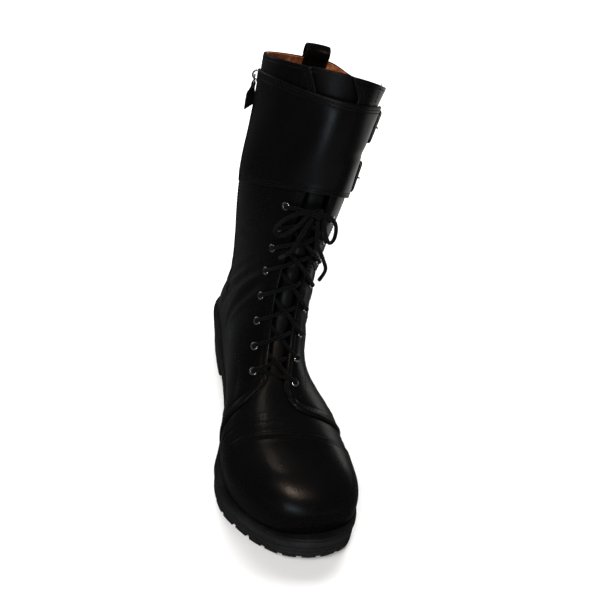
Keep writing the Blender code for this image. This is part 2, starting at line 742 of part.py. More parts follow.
def tread_cutter(name, first, last, ground, middles):
    """Grooves across the sole's edge, and short ones across its middle at the f given."""
    points, faces = [], []

    def block(centre, turn, size):
        """A box cut from below at (x, f), its length along the turned x direction."""
        x, f = centre
        base = float(ground(f))
        start = len(points)
        for dz in (-6.0, LUG_DEPTH):
            for dx, df in ((-1, -1), (1, -1), (1, 1), (-1, 1)):
                across, along = dx * size[0] / 2, df * size[1] / 2
                px = x + across * cos(turn) - along * sin(turn)
                pf = f + across * sin(turn) + along * cos(turn)
                points.append((px, pf, base + dz))
        box = ((3, 2, 1, 0), (4, 5, 6, 7), (0, 1, 5, 4), (1, 2, 6, 5), (2, 3, 7, 6), (3, 0, 4, 7))
        faces.extend(tuple(start + corner for corner in face) for face in box)

    fine = np.linspace(first, last, 200)
    for side in (1, -1):
        edge = outline_point(fine, side, 0.0)
        length = np.concatenate([[0], np.cumsum(np.linalg.norm(np.diff(edge, axis=0), axis=1))])
        count = int(round(length[-1] / LUG_PITCH))
        for k in range(0 if side > 0 else 1, count + 1 if side > 0 else count):
            t = float(np.interp(length[-1] * k / count, length, fine))
            at = outline_point(t, side, 5.5)
            inner = outline_point(t, side, 9.5)
            turn = atan2(at[1] - inner[1], at[0] - inner[0])
            block(at, turn, (15.0, LUG_GROOVE))
    for f in middles:
        block((float(axis_x(f)), f), 0.0, (22.0, LUG_GROOVE - 1))
    return add_object(name, points, faces, "rubber")


def build_insole():
    """A flat board on the midsole, inside the upper's lower edge."""
    sections = []
    for ring in np.concatenate([np.linspace(0.3, 4, 7), np.linspace(5, 13.5, 10)]):
        inset = -LINING_WALL - 4 * GAP
        lateral, medial = lifted(ring, 1.0, inset), lifted(ring, -1.0, inset)
        section = []
        for point, heights in ((lateral, (INSOLE, 0)), (medial, (0, INSOLE))):
            base = float(seat_height(point[1])) + GAP
            section += [(point[0], point[1], base + height) for height in heights]
        sections.append(section)
    faces = [(0, 1, 2, 3)]
    for i in range(len(sections) - 1):
        for k in range(4):
            j = (k + 1) % 4
            faces.append((4 * i + k, 4 * i + j, 4 * i + 4 + j, 4 * i + 4 + k))
    last = 4 * (len(sections) - 1)
    faces.append((last, last + 1, last + 2, last + 3))
    add_object("insole", np.array(sections).reshape(-1, 3), faces, "lining")


# ---- tongue, cuff and straps ----
def build_tongue():
    def rings(a, b):
        return 6.3 + (TONGUE_RING - 6.3) * b - 0.25 * b * (2 * a - 1) ** 4

    def across(a, v):
        middle = (throat_u(v, 1) + throat_u(v, -1)) / 2
        return middle + (2 * a - 1) * u_at_side(v, column(TONGUE_SIDES, v))

    top = -LINING_WALL - 3 * GAP
    patch("tongue", rings, across, top - TONGUE_THICK, top, (5, 17), "tongue_leather")


def build_cuff():
    start = ZIP_U + 0.06

    def rings(a, b):
        top = CUFF_TOP - CUFF_FALL * eased(start + (CUFF_END - start) * a, -0.5, 0.05)
        return CUFF_LOW + (top - CUFF_LOW) * b

    def across(a, v):
        return start + (CUFF_END - start) * a

    low = QUARTER_STEP + 2 * GAP
    patch("cuff", rings, across, low, low + CUFF_THICK, (14, 4), "leather")


def strap_half(ring):
    """Half of the strap's width in ring numbers."""
    rise = np.linalg.norm(skin(ring + 0.1, 0.5) - skin(ring - 0.1, 0.5)) / 0.2
    return STRAP_WIDTH / 2 / rise


def strap_height(u):
    """Underside of a strap: level with the cuff, then up over the buckle's hinge bar."""
    base = QUARTER_STEP + 2 * GAP
    over = HINGE_HEIGHT + BUCKLE_ROD + 2.5 * GAP
    rise = np.exp(-((u - BUCKLE_HINGE) / 0.028) ** 2)
    after = 1.6 * np.clip((u - BUCKLE_HINGE) / 0.03, 0, 1)
    return np.maximum(base + after, base + (over - base) * rise)


def build_straps():
    for name, ring in zip(("upper", "lower"), STRAP_ROWS[::-1]):
        half = strap_half(ring)
        start = CUFF_END + 0.003

        def across(a, v):
            return start + (STRAP_END - start) * a

        def rings(a, b):
            point = 1 - np.clip((a - 0.88) / 0.12, 0, 1) ** 2 * 0.55
            return ring + half * (2 * b - 1) * point

        low = lambda a, b: strap_height(across(a, None))
        high = lambda a, b: strap_height(across(a, None)) + STRAP_THICK
        strap = patch(f"strap_{name}", rings, across, low, high, (14, 2), "leather")
        u = BUCKLE_HINGE - 0.018
        frame = placed_at(ring, u, 4.0)
        hole = turned(
            f"cut_strap_{name}", [(0.0, -6), (1.7, -6), (1.7, 8), (0.0, 8)], frame, "metal"
        )
        boolean(strap, as_cutter(hole))
        build_chape(name, ring)
        build_buckle(name, ring)


def placed_at(ring, u, height):
    point, along_u, _, normal = skin_frame(ring, u)
    return placed(point + normal * height, normal, along_u)


def build_chape(name, ring):
    """The leather tab that holds the buckle's hinge bar, sewn to the shaft behind it."""
    half = strap_half(ring) * 0.8
    start = BUCKLE_HINGE + (BUCKLE_ROD + GAP) / 190

    def rings(a, b):
        return ring + half * (2 * b - 1)

    def across(a, v):
        return start + 0.055 * a

    low = QUARTER_STEP + GAP
    patch(f"chape_{name}", rings, across, low, low + 1.5, (4, 2), "leather")


def rod(path, radius, sides=8):
    """Points and faces of a rod along a closed or open path of points, swept without twist."""
    path = np.asarray(path, float)
    tangents = np.gradient(path, axis=0)
    tangents /= np.linalg.norm(tangents, axis=1, keepdims=True)
    guide = np.array([0.0, 0.0, 1.0])
    if abs(tangents[0] @ guide) > 0.9:
        guide = np.array([1.0, 0.0, 0.0])
    side = np.cross(tangents[0], guide)
    side /= np.linalg.norm(side)
    points = []
    for centre, tangent in zip(path, tangents):
        side = side - tangent * (side @ tangent)
        side /= np.linalg.norm(side)
        up = np.cross(tangent, side)
        for k in range(sides):
            angle = 2 * pi * k / sides
            points.append(centre + radius * (side * cos(angle) + up * sin(angle)))
    faces = [tuple(range(sides))]
    for i in range(len(path) - 1):
        for k in range(sides):
            j = (k + 1) % sides
            here, there = i * sides, (i + 1) * sides
            faces.append((here + k, here + j, there + j, there + k))
    faces.append(tuple((len(path) - 1) * sides + k for k in range(sides)))
    return np.array(points), faces


def frame_rod(corners, radius, sides=8):
    """Points and faces of a flat closed frame of rod with mitred corners."""
    corners = np.asarray(corners, float)
    normal = np.cross(corners[1] - corners[0], corners[2] - corners[1])
    normal /= np.linalg.norm(normal)
    points, faces = [], []
    count = len(corners)
    for i, corner in enumerate(corners):
        before, after = corner - corners[i - 1], corners[(i + 1) % count] - corner
        before, after = before / np.linalg.norm(before), after / np.linalg.norm(after)
        bend = after - before
        mitre = bend / np.linalg.norm(bend) / np.sqrt((1 + before @ after) / 2)
        for k in range(sides):
            angle = 2 * pi * (k + 0.5) / sides
            points.append(corner + radius * (mitre * cos(angle) + normal * sin(angle)))
            j, here, there = (k + 1) % sides, i * sides, (i + 1) % count * sides
            faces.append((here + k, here + j, there + j, there + k))
    return np.array(points), faces


def joined(name, parts, look):
    """One object from overlapping rods, united by Booleans."""
    first, *others = parts
    obj = add_object(name, *first, look)
    for number, (points, faces) in enumerate(others):
        boolean(obj, as_cutter(add_object(f"cut_{name}_{number}", points, faces, look)), "UNION")
    return obj


def build_buckle(name, ring):
    half = strap_half(ring) * (STRAP_WIDTH + 2 * BUCKLE_ROD + 1.8) / STRAP_WIDTH
    far_height = QUARTER_STEP + 2 * GAP + CUFF_THICK + GAP + BUCKLE_ROD
    corners = [
        lifted(ring + side * half, u, height)
        for side, u, height in (
            (-1, BUCKLE_FAR, far_height),
            (1, BUCKLE_FAR, far_height),
            (1, BUCKLE_HINGE, HINGE_HEIGHT),
            (-1, BUCKLE_HINGE, HINGE_HEIGHT),
        )
    ]
    hole = BUCKLE_HINGE - 0.018
    tip = far_height + 2 * BUCKLE_ROD + 0.2
    route = [
        lifted(ring, BUCKLE_HINGE, HINGE_HEIGHT),
        lifted(ring, hole + 0.004, HINGE_HEIGHT + 0.8),
        lifted(ring, hole, float(strap_height(hole)) + 1.2),
        lifted(ring, hole - 0.012, float(strap_height(hole)) + STRAP_THICK + 1.6),
        lifted(ring, BUCKLE_FAR + 0.02, tip),
        lifted(ring, BUCKLE_FAR - 0.008, tip - 0.5),
    ]
    parts = [frame_rod(corners, BUCKLE_ROD), rod(route, 0.85, 6)]
    joined(f"buckle_{name}", parts, "metal")


# ---- zip ----
def zip_rings(a, b):
    return ZIP_RING + 0.12 + (COLLAR_RING - 0.24 - ZIP_RING) * b


def build_zip():
    def tape_across(a, v):
        return ZIP_U + (2 * a - 1) * u_step(v, ZIP_U, TAPE_HALF)

    def teeth_across(a, v):
        return ZIP_U + (2 * a - 1) * u_step(v, ZIP_U, TEETH_HALF)

    tape_top = -LINING_WALL - 3 * GAP
    rings = lambda a, b: zip_rings(a, b) - 0.25 * (1 - b)
    patch("zip_tape", rings, tape_across, tape_top - 0.8, tape_top, (2, 16), "zip_cloth")
    patch("zip_teeth", zip_rings, teeth_across, tape_top + GAP, TEETH_TOP, (2, 18), "metal")


def block(centre, size, taper=0.0):
    """Corner points and faces of a box; taper narrows its lower end."""
    points = []
    for dz in (-1, 1):
        for dx, dy in ((-1, -1), (1, -1), (1, 1), (-1, 1)):
            narrow = 1 - taper * (dy < 0)
            points.append(
                (
                    centre[0] + dx * size[0] / 2 * narrow,
                    -(centre[1] + dy * size[1] / 2),
                    centre[2] + dz * size[2] / 2,
                )
            )
    faces = [(3, 2, 1, 0), (4, 5, 6, 7), (0, 1, 5, 4), (1, 2, 6, 5), (2, 3, 7, 6), (3, 0, 4, 7)]
    return np.array(points), faces


def local_rod(path, radius, sides=6):
    points, faces = rod([(x, -y, z) for x, y, z in path], radius, sides)
    return points, faces


def build_slider():
    """The slider on the teeth, with the bridge that holds the pull's upper bar."""
    frame = placed_at(SLIDER_RING, ZIP_U, 0.0)
    base = TEETH_TOP + GAP
    body_top = base + 1.9
    body = add_object("zip_slider", *block((0, 0, base + 0.95), (7.4, 10.0, 1.9), 0.35), "metal")
    bridge = local_rod(
        [(0, 3.0, body_top - 0.5), (0, 2.6, 5.3), (0, 0, 6.3), (0, -2.6, 5.3), (0, -3.0, body_top - 0.5)],
        0.65,
    )
    arch = as_cutter(add_object("cut_slider_bridge", *bridge, "metal"))
    boolean(body, arch, "UNION")
    for obj in (body, arch):
        obj.matrix_world = frame


def build_pull():
    """Metal link and leather tab. Both have their origin on the hinge axis, the link's upper bar."""
    frame = placed_at(SLIDER_RING, ZIP_U, PULL_AXIS)
    half = LINK_HALF
    corners = [(-half, 0, 0), (half, 0, 0), (half, LINK_LENGTH, 0), (-half, LINK_LENGTH, 0)]
    link = add_object("zip_pull_link", *frame_rod(corners, LINK_ROD, 6), "metal")
    tab = add_object("zip_pull_tab", *tab_shape(), "leather")
    path = [(-5, -LINK_LENGTH, 0), (5, -LINK_LENGTH, 0)]
    hole = as_cutter(add_object("cut_pull_tab", *local_rod(path, LINK_ROD + GAP, 8), "metal"))
    boolean(tab, hole)
    for obj in (link, tab, hole):
        obj.matrix_world = frame


def tab_shape():
    """A strip of leather folded round the link's lower bar. Below it the strip is turned on edge,
    and its slanting end is longest on the outer side."""
    points, faces = [], []
    for along, half, thick, angle, out, slant in TAB_ROWS:
        turn = radians(angle)
        for s, h in ((1, 1), (1, -1), (-1, -1), (-1, 1)):
            x = s * half * cos(turn) - h * thick * sin(turn)
            z = s * half * sin(turn) + h * thick * cos(turn) + out
            points.append((x, LINK_LENGTH - along - s * slant, z))
    for i in range(len(TAB_ROWS) - 1):
        for k in range(4):
            j = (k + 1) % 4
            faces.append((4 * i + k, 4 * i + j, 4 * i + 4 + j, 4 * i + 4 + k))
    last = 4 * (len(TAB_ROWS) - 1)
    faces += [(0, 1, 2, 3), (last, last + 1, last + 2, last + 3)]
    return np.array(points), faces


def build_pull_loop():
    """The leather loop at the back of the collar: outside, over the edge and down inside."""
    point, _, up, normal = skin_frame(COLLAR_RING, 1.0)
    across = np.cross(up, normal)
    outside, inside = QUARTER_STEP + GAP, -LINING_WALL - 3 * GAP
    route = [(outside, -18), (outside, -9), (outside, 0.5), (3.0, 3.0), (3.6, 6.5), (2.4, 9.4)]
    route += [(-0.6, 10.8), (-3.9, 9.4), (-5.2, 6.5), (-4.6, 3.0), (inside, 0.0), (inside, -13)]
    route = np.array(route, float)
    ahead = np.gradient(route, axis=0)
    ahead /= np.linalg.norm(ahead, axis=1, keepdims=True)
    out = np.stack([ahead[:, 1], -ahead[:, 0]], axis=1)
    grids = []
    for thick in (0.0, LOOP_THICK):
        rows = []
        for (n, y), (dn, dy) in zip(route, out):
            rows.append([])
            for x in np.linspace(-LOOP_WIDTH / 2, LOOP_WIDTH / 2, 5):
                bend = -x * x / (2 * LOOP_BEND)
                place = normal * (n + dn * thick + bend) + up * (y + dy * thick)
                rows[-1].append(point + place + across * x)
        grids.append(np.array(rows))
    keep = np.ones((len(route) - 1, 4), bool)
    thick_sheet("pull_loop", grids[1], grids[0], keep, "leather")


# ---- laces ----
def build_lace_crossings():
    """The bars of the criss-cross lacing, from eyelet to eyelet over the throat."""
    rings = {side: eyelet_rings(side) for side in (1, -1)}
    end = QUARTER_STEP + EYELET_SEAT + 0.8 + LACE_RADIUS + 3.5 * GAP
    heights = (end, end - 1.0, end - 1.0, end)
    bars = [(0, 0, 1)]
    bars += [(k, k + 1, side) for k in range(EYELET_PAIRS - 1) for side in (1, -1)]
    parts = []
    for low, high, side in bars:
        path = []
        for share, height in zip(np.linspace(0, 1, 4), heights):
            ring = rings[side][low] * (1 - share) + rings[-side][high] * share
            u = side * (1 - 2 * share) * float(u_at_side(ring, eyelet_side(ring)))
            path.append(lifted(ring, u, height))
        parts.append(rod(path, LACE_RADIUS, 4))
    joined("lace_crossings", parts, "lace")


def cord(name, route, radius):
    """A tube along a smooth curve through the route's points, each (ring, side, height)."""
    smooth = through(route, np.arange(0, len(route) - 0.99, 0.5))
    points = [lifted(v, np.sign(x) * u_at_side(v, abs(x)), h) for v, x, h in smooth]
    curve = bpy.data.curves.new(name, "CURVE")
    curve.dimensions = "3D"
    curve.bevel_depth = radius * MM
    curve.bevel_resolution = 2
    curve.use_fill_caps = True
    spline = curve.splines.new("POLY")
    spline.points.add(len(points) - 1)
    for spot, (x, f, z) in zip(spline.points, points):
        spot.co = (x * MM, -f * MM, z * MM, 1.0)
    curve.materials.append(material("lace"))
    obj = bpy.data.objects.new(name, curve)
    bpy.context.collection.objects.link(obj)


def build_lace_bow():
    for name, route in LACE_ROUTES.items():
        cord(name, route, LACE_RADIUS)
    ring = KNOT[0]
    profile = [(0.0, -3.2), (3.0, -2.6), (4.4, -0.9), (4.4, 0.9), (3.0, 2.6), (0.0, 3.2)]
    turned("lace_knot", profile, placed_at(ring, 0.0, KNOT[1]), "lace", sides=10)


def main():
    clear_scene()
    build_outsole()
    build_heel()
    build_midsole()
    build_insole()
    build_upper()
    build_tongue()
    build_eyelets()
    build_cuff()
    build_straps()
    build_zip()
    build_slider()
    build_pull()
    build_pull_loop()
    build_lace_crossings()
    build_lace_bow()


main()
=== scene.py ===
"""The looks of a left lace-up motorcycle boot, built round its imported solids.

Places on the upper are given as a ring number v (0 at the toe tip, 22 at the collar) and u (0 on
the ridge or front line, +1 and -1 at the lateral and medial edge or back seam). Points are in
millimetres as (x, f, z) with f towards the toe, and become metres with y = -f.
"""

from math import atan2, cos, pi, radians, sin

import bmesh
import bpy
import numpy as np
from mathutils import Matrix, Vector


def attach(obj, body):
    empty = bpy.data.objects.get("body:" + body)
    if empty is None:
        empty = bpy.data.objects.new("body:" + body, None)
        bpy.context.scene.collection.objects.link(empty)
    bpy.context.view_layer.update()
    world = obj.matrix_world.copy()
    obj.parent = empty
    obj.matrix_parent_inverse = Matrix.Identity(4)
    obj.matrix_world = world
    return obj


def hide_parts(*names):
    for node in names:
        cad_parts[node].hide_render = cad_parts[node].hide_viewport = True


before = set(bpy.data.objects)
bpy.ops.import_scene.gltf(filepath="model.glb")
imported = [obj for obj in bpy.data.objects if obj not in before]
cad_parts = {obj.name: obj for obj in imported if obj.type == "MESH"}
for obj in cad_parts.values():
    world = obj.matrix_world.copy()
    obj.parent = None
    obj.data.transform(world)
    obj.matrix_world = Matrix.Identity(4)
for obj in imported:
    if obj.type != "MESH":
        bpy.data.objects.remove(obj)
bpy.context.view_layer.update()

MM = 0.001
BOOT, PULL = "boot", "zip_pull"

# ---- dimensions shared with the solids ----
GAP = 0.3  # between pieces that don't touch
SEAT_GAP = 0.6  # between the upper and its seat
WALL = 1.8  # from the vamp's face to the lining's
STEP = 1.4  # the quarters over the vamp
CAP_STEP = 0.8  # the toe cap over the vamp
# the slack shaft's lean: its slope and starting height, where, how softly and how steeply that
# height rises towards the toe, and how softly the lean sets in
LEAN = 0.157
LEAN_START = 49.0
LEAN_FORWARD = (90.0, 30.0, 0.5)
LEAN_SOFT = 15.0
# the leg's turn about the ankle, and back again higher up
TWIST, UNTWIST = radians(5.5), radians(2.0)
TWIST_LOW, TWIST_HIGH = 35.0, 95.0
TWIST_CENTRE = 28.0
UNTWIST_LOW, UNTWIST_HIGH = 140.0, 230.0
# top_f, top_z, low_f, low_z, half, edge, belly, roundness, skew of each ring
RINGS = (
    (238.0, 40.0, 238.0, 29.0, 0.0, 0.0, 0.30, 2.3, 0.0),
    (235.5, 49.0, 234.5, 27.8, 21.5, 19.5, 0.30, 2.3, 0.0),
    (228.0, 58.0, 226.0, 26.0, 33.0, 30.5, 0.30, 2.3, 0.0),
    (215.0, 66.0, 212.0, 24.0, 42.0, 39.0, 0.30, 2.3, 0.0),
    (197.0, 72.0, 194.0, 22.6, 47.5, 44.0, 0.30, 2.3, 0.0),
    (175.0, 78.0, 168.0, 21.8, 48.5, 45.0, 0.30, 2.2, 0.0),
    (153.0, 85.5, 142.0, 22.2, 44.0, 41.0, 0.30, 2.1, 0.0),
    (138.0, 94.0, 115.0, 25.0, 37.5, 34.0, 0.30, 2.1, 0.0),
    (125.5, 106.0, 85.0, 29.5, 31.9, 29.5, 0.35, 2.1, 1.1),
    (115.0, 121.0, 52.0, 33.5, 30.0, 28.0, 0.38, 2.1, 1.1),
    (108.0, 137.0, 18.0, 36.5, 29.3, 27.0, 0.40, 2.1, 0.7),
    (103.0, 151.0, -10.0, 37.8, 29.6, 26.0, 0.43, 2.1, 0.2),
    (100.0, 161.0, -25.0, 38.0, 29.8, 19.5, 0.45, 2.1, -0.2),
    (98.5, 169.0, -33.0, 38.0, 29.8, 11.0, 0.45, 2.1, -0.5),
    (97.5, 176.0, -36.5, 38.5, 29.8, 0.0, 0.45, 2.1, -0.6),
    (96.5, 185.0, -39.0, 60.0, 30.5, 0.0, 0.48, 2.1, 0.0),
    (95.5, 195.0, -38.5, 88.0, 32.2, 0.0, 0.50, 2.1, 2.2),
    (94.5, 206.0, -35.0, 118.0, 34.7, 0.0, 0.50, 2.1, 4.2),
    (93.0, 221.0, -32.0, 150.0, 37.3, 0.0, 0.50, 2.1, 5.6),
    (90.5, 240.0, -30.5, 182.0, 38.7, 0.0, 0.50, 2.1, 6.7),
    (87.0, 262.0, -29.5, 213.0, 39.7, 0.0, 0.50, 2.1, 6.4),
    (83.0, 283.5, -28.0, 244.5, 41.2, 0.0, 0.50, 2.1, 5.8),
    (78.5, 306.0, -26.0, 274.5, 44.6, 0.0, 0.50, 2.1, 4.3),
    (74.0, 328.0, -24.0, 304.0, 47.0, 0.0, 0.50, 2.1, 3.5),
)
N_LOW = 2.0  # roundness of a ring's lower half
HEEL_RING, COLLAR_RING = 14, 22
# how far the collar sinks, in rings, and the u where that starts, is full, fades and is over
SLUMP = 0.25
SLUMP_ENDS = (-0.05, 0.45, 0.72, 0.93)
# the sole's outline, heel to toe: f, x of the middle, half width
OUTLINE = (
    (-40.5, 0.0, 0.0), (-37.5, 0.0, 14.0), (-30.0, 0.0, 23.5), (-18.0, 0.0, 29.5),
    (0.0, 0.0, 32.5), (25.0, -0.5, 33.5), (50.0, -1.0, 33.0), (80.0, -1.0, 33.5),
    (110.0, -1.0, 37.5), (140.0, -0.5, 46.0), (165.0, -2.0, 52.0), (190.0, -0.5, 52.0),
    (210.0, 3.5, 45.0), (228.0, 7.5, 35.3), (241.0, 10.5, 22.0), (246.5, 12.0, 0.0),
)
TOE_ROW = len(OUTLINE) - 1
# the sole's underside: f, z
UNDERSIDE = (
    (-60.0, 24.0), (52.0, 24.0), (62.0, 19.0), (78.0, 11.0), (95.0, 4.0),
    (110.0, 0.0), (205.0, 0.0), (222.0, 1.8), (236.0, 5.0), (250.0, 9.5),
)
INSOLE, MIDSOLE = 3.0, 4.0  # thickness
HEEL_ROWS = 5.6  # the outline's row at the heel's breast
HEEL_HEIGHT = 24.0
LUG_DEPTH, LUG_GROOVE, LUG_PITCH = 4.5, 5.0, 14.5
SOLE_GROOVES = tuple(range(118, 212, 15))
HEEL_GROOVES = (-14, 14, 29)
# the throat: ring, half width, x of its middle
THROAT = (
    (0.0, 6.5, 0.0), (5.0, 6.5, 0.0), (6.5, 6.5, 1.5), (8.0, 7.5, 1.5), (10.0, 8.5, 0.0),
    (18.0, 9.0, 0.0), (20.0, 10.0, 0.0), (21.4, 14.0, -4.5), (22.0, 13.0, -12.0),
)
CAP_LINE = (4.7, 0.3)  # ring of the cap's edge at the ridge, and its fall to the sides
# the quarters' front edges: ring, rise at the throat, and how fast that fades
QUARTER_LATERAL = (5.4, 0.8, 0.04)
QUARTER_MEDIAL = (5.5, 1.0, 0.1)
EYELET_PAIRS, EYELET_PITCH, EYELET_FIRST_RING = 8, 19.6, 7.0
# ring, and mm to each side of the middle line
EYELET_SIDES = ((7.0, 15.8), (9.0, 16.6), (12.0, 17.4))
FIRST_SIDE = EYELET_SIDES[0][1]
EYELET_DROP = 6.0  # the lateral row starts lower
ZIP_RING, ZIP_HALF, ZIP_U = 11.4, 4.2, -0.55
CUFF_LOW, CUFF_TOP, CUFF_FALL, CUFF_END = 18.15, 21.55, 0.3, 0.362
CUFF_START = ZIP_U + 0.06
STRAP_WIDTH, STRAP_THICK = 22.0, 2.0
STRAP_ROWS = {"lower": 18.94, "upper": 20.6}
STRAP_END = 0.56
BUCKLE_ROD, BUCKLE_FAR, BUCKLE_HINGE, HINGE_HEIGHT = 1.25, 0.360, 0.445, 3.0
BUCKLE_HOLE = BUCKLE_HINGE - 0.018  # the strap's hole that the prong goes through
TONGUE_SIDES = ((8.0, 21.0), (20.0, 24.0), (22.0, 24.0))
SLIDER_RING, PULL_AXIS = 21.35, 4.8
LINK_HALF, LINK_LENGTH, LINK_ROD = 2.4, 6.0, 0.6
LACE_RADIUS = 1.5
KNOT = (17.35, 8.6)  # ring and height


# ---- curves through tables ----
def through(table, t, first_sign=None, last_sign=None):
    """A Catmull-Rom curve through the table's rows at row numbers t."""
    rows = np.array(table, float)
    before = 2 * rows[0] - rows[1] if first_sign is None else rows[1] * first_sign
    after = 2 * rows[-1] - rows[-2] if last_sign is None else rows[-2] * last_sign
    rows = np.vstack([before, rows, after])
    t = np.clip(np.asarray(t, float), 0, len(table) - 1 - 1e-9)
    index = np.floor(t).astype(int)
    s = (t - index)[..., None]
    a, b, c, d = rows[index], rows[index + 1], rows[index + 2], rows[index + 3]
    return b + s / 2 * (c - a + s * (2 * a - 5 * b + 4 * c - d + s * (3 * (b - c) + d - a)))


def column(table, t):
    first, second = np.array(table, float).T
    return np.interp(t, first, second)


def eased(value, low, high):
    share = np.clip((value - low) / (high - low), 0, 1)
    return share * share * (3 - 2 * share)


def unit(rows):
    return rows / np.linalg.norm(rows, axis=-1, keepdims=True)


def lengths(path):
    """How far along a path each of its points is."""
    return np.concatenate([[0], np.cumsum(np.linalg.norm(np.diff(path, axis=0), axis=1))])


def circle(count):
    return 2 * pi * np.arange(count) / count


def resampled(path, pitch):
    """Points at an even pitch along a path."""
    path = np.asarray(path, float)
    length = lengths(path)
    at = np.linspace(0, length[-1], max(2, int(round(length[-1] / pitch)) + 1))
    return np.stack([np.interp(at, length, column) for column in path.T], axis=1)


def smooth_path(rows, step=0.1):
    return through(rows, np.arange(0, len(rows) - 1 + 1e-9, step))


# ---- the upper's surface ----
def leaned(points):
    """The points after the leg's turn and the slack shaft's sideways fall."""
    x, f, z = np.moveaxis(points, -1, 0)
    turn = TWIST * eased(z, TWIST_LOW, TWIST_HIGH) - UNTWIST * eased(z, UNTWIST_LOW, UNTWIST_HIGH)
    ahead = f - TWIST_CENTRE
    x, f = (
        x * np.cos(turn) - ahead * np.sin(turn),
        TWIST_CENTRE + ahead * np.cos(turn) + x * np.sin(turn),
    )
    past, soft, rise = f - LEAN_FORWARD[0], LEAN_FORWARD[1], LEAN_FORWARD[2]
    above = z - LEAN_START - rise * (np.hypot(past, soft) + past) / 2
    reach = np.hypot(above, LEAN_SOFT)
    shift = LEAN * (reach + above) / 2
    angle = np.arctan(LEAN * (1 + above / reach) / 2)
    return np.stack([x * np.cos(angle) + shift, f, z - x * np.sin(angle)], axis=-1)


AXIS_LINE = through(OUTLINE, np.linspace(0, TOE_ROW, 120))
RING_MIRROR = np.array([1, 1, 1, 1, -1, -1, 1, 1, 1])


def axis_x(f):
    return np.interp(f, AXIS_LINE[:, 0], AXIS_LINE[:, 1])


def skin(v, u):
    """The vamp's surface, as the solids have it."""
    v, u = np.broadcast_arrays(np.asarray(v, float), np.asarray(u, float))
    rows = through(RINGS, v, first_sign=RING_MIRROR)
    top_f, top_z, low_f, low_z, half, edge, belly, n_top, skew = np.moveaxis(rows, -1, 0)
    edge = np.where(v >= HEEL_RING, 0.0, np.maximum(edge, 0.0))
    table = np.array(RINGS)
    straight_z = np.interp(v, np.arange(len(table)), table[:, 3])
    low_z = np.where(v < HEEL_RING, straight_z, low_z)
    angle = np.abs(u) * pi
    upper = angle <= pi / 2
    power = 2 / np.where(upper, n_top, N_LOW)
    across = np.abs(np.sin(angle)) ** power
    along = np.abs(np.cos(angle)) ** power
    width = np.where(upper, half * across, edge + (half - edge) * across)
    rise = np.where(upper, belly + (1 - belly) * along, belly * (1 - along))
    f = low_f + rise * (top_f - low_f)
    z = low_z + rise * (top_z - low_z)
    middle = axis_x(f) - skew * (width / np.maximum(half, 1e-6)) ** 2
    return leaned(np.stack([np.sign(u) * width + middle, f, z], axis=-1))


def skin_frame(v, u):
    """Point, direction towards +u, direction towards +v and outward normal of the surface."""
    v, u = np.broadcast_arrays(np.asarray(v, float), np.asarray(u, float))
    tip = np.minimum(v / 0.06, 1.0)
    inner_v = np.clip(v, 0.06, len(RINGS) - 1.02)
    low_u, high_u = np.maximum(u - 0.004, -1), np.minimum(u + 0.004, 1)
    along_u = skin(inner_v, high_u) - skin(inner_v, low_u)
    along_v = skin(inner_v + 0.02, u) - skin(inner_v - 0.02, u)
    normal = np.cross(along_v, along_u)
    normal[..., 0] *= tip
    level = np.cross([0.0, 0.0, 1.0], along_v) * np.sign(u)[..., None]
    size = np.linalg.norm(normal, axis=-1, keepdims=True)
    level *= size / np.maximum(np.linalg.norm(level, axis=-1, keepdims=True), 1e-9)
    flat = np.where(v < HEEL_RING, np.clip((np.abs(u) - 0.8) / 0.2, 0, 1), 0)[..., None]
    return skin(v, u), unit(along_u), unit(along_v), unit(normal * (1 - flat) + level * flat)


def lifted(v, u, height):
    point, _, _, normal = skin_frame(v, u)
    return point + normal * np.asarray(height, float)[..., None]


def u_at_side(v, side):
    rows = through(RINGS, v, first_sign=RING_MIRROR)
    half, n_top = rows[..., 4], rows[..., 7]
    share = np.clip(side / np.maximum(half, 1e-6), 0, 0.98)
    return np.arcsin(share ** (n_top / 2)) / pi


def u_step(v, u, length):
    """The change of u that moves the point by length along the ring."""
    v = np.asarray(v, float)
    rate = np.linalg.norm(skin(v, u + 0.01) - skin(v, u - 0.01), axis=-1) / 0.02
    return length / np.maximum(rate, 1.0)


def throat_u(v, side):
    ring, half, middle = np.array(THROAT, float).T
    x = np.interp(v, ring, middle) + side * np.interp(v, ring, half)
    return np.sign(x) * u_at_side(v, np.abs(x))


def slump(u):
    start, full, ending, end = SLUMP_ENDS
    return SLUMP * eased(u, start, full) * (1 - eased(u, ending, end))


def cap_line(u):
    return CAP_LINE[0] - CAP_LINE[1] * np.asarray(u) ** 2


def quarter_line(u, side):
    """Ring of the quarters' front edge at u, with the corner of each flap."""
    low, rise, drop = QUARTER_LATERAL if side > 0 else QUARTER_MEDIAL
    edge = throat_u(low + rise, side)
    share = np.clip((u - edge) / (side - edge), 0, 1)
    return low + rise * np.exp(-share / drop)


def eyelet_side(ring):
    return column(EYELET_SIDES, ring)


def eyelet_rings(side):
    fine = np.linspace(EYELET_FIRST_RING - 1, COLLAR_RING, 400)
    length = lengths(skin(fine, side * u_at_side(fine, eyelet_side(fine))))
    first = np.interp(EYELET_FIRST_RING, fine, length) - (EYELET_DROP if side > 0 else 0)
    return np.interp(first + EYELET_PITCH * np.arange(EYELET_PAIRS), length, fine)


def eyelet_u(ring, side):
    return side * float(u_at_side(ring, eyelet_side(ring)))


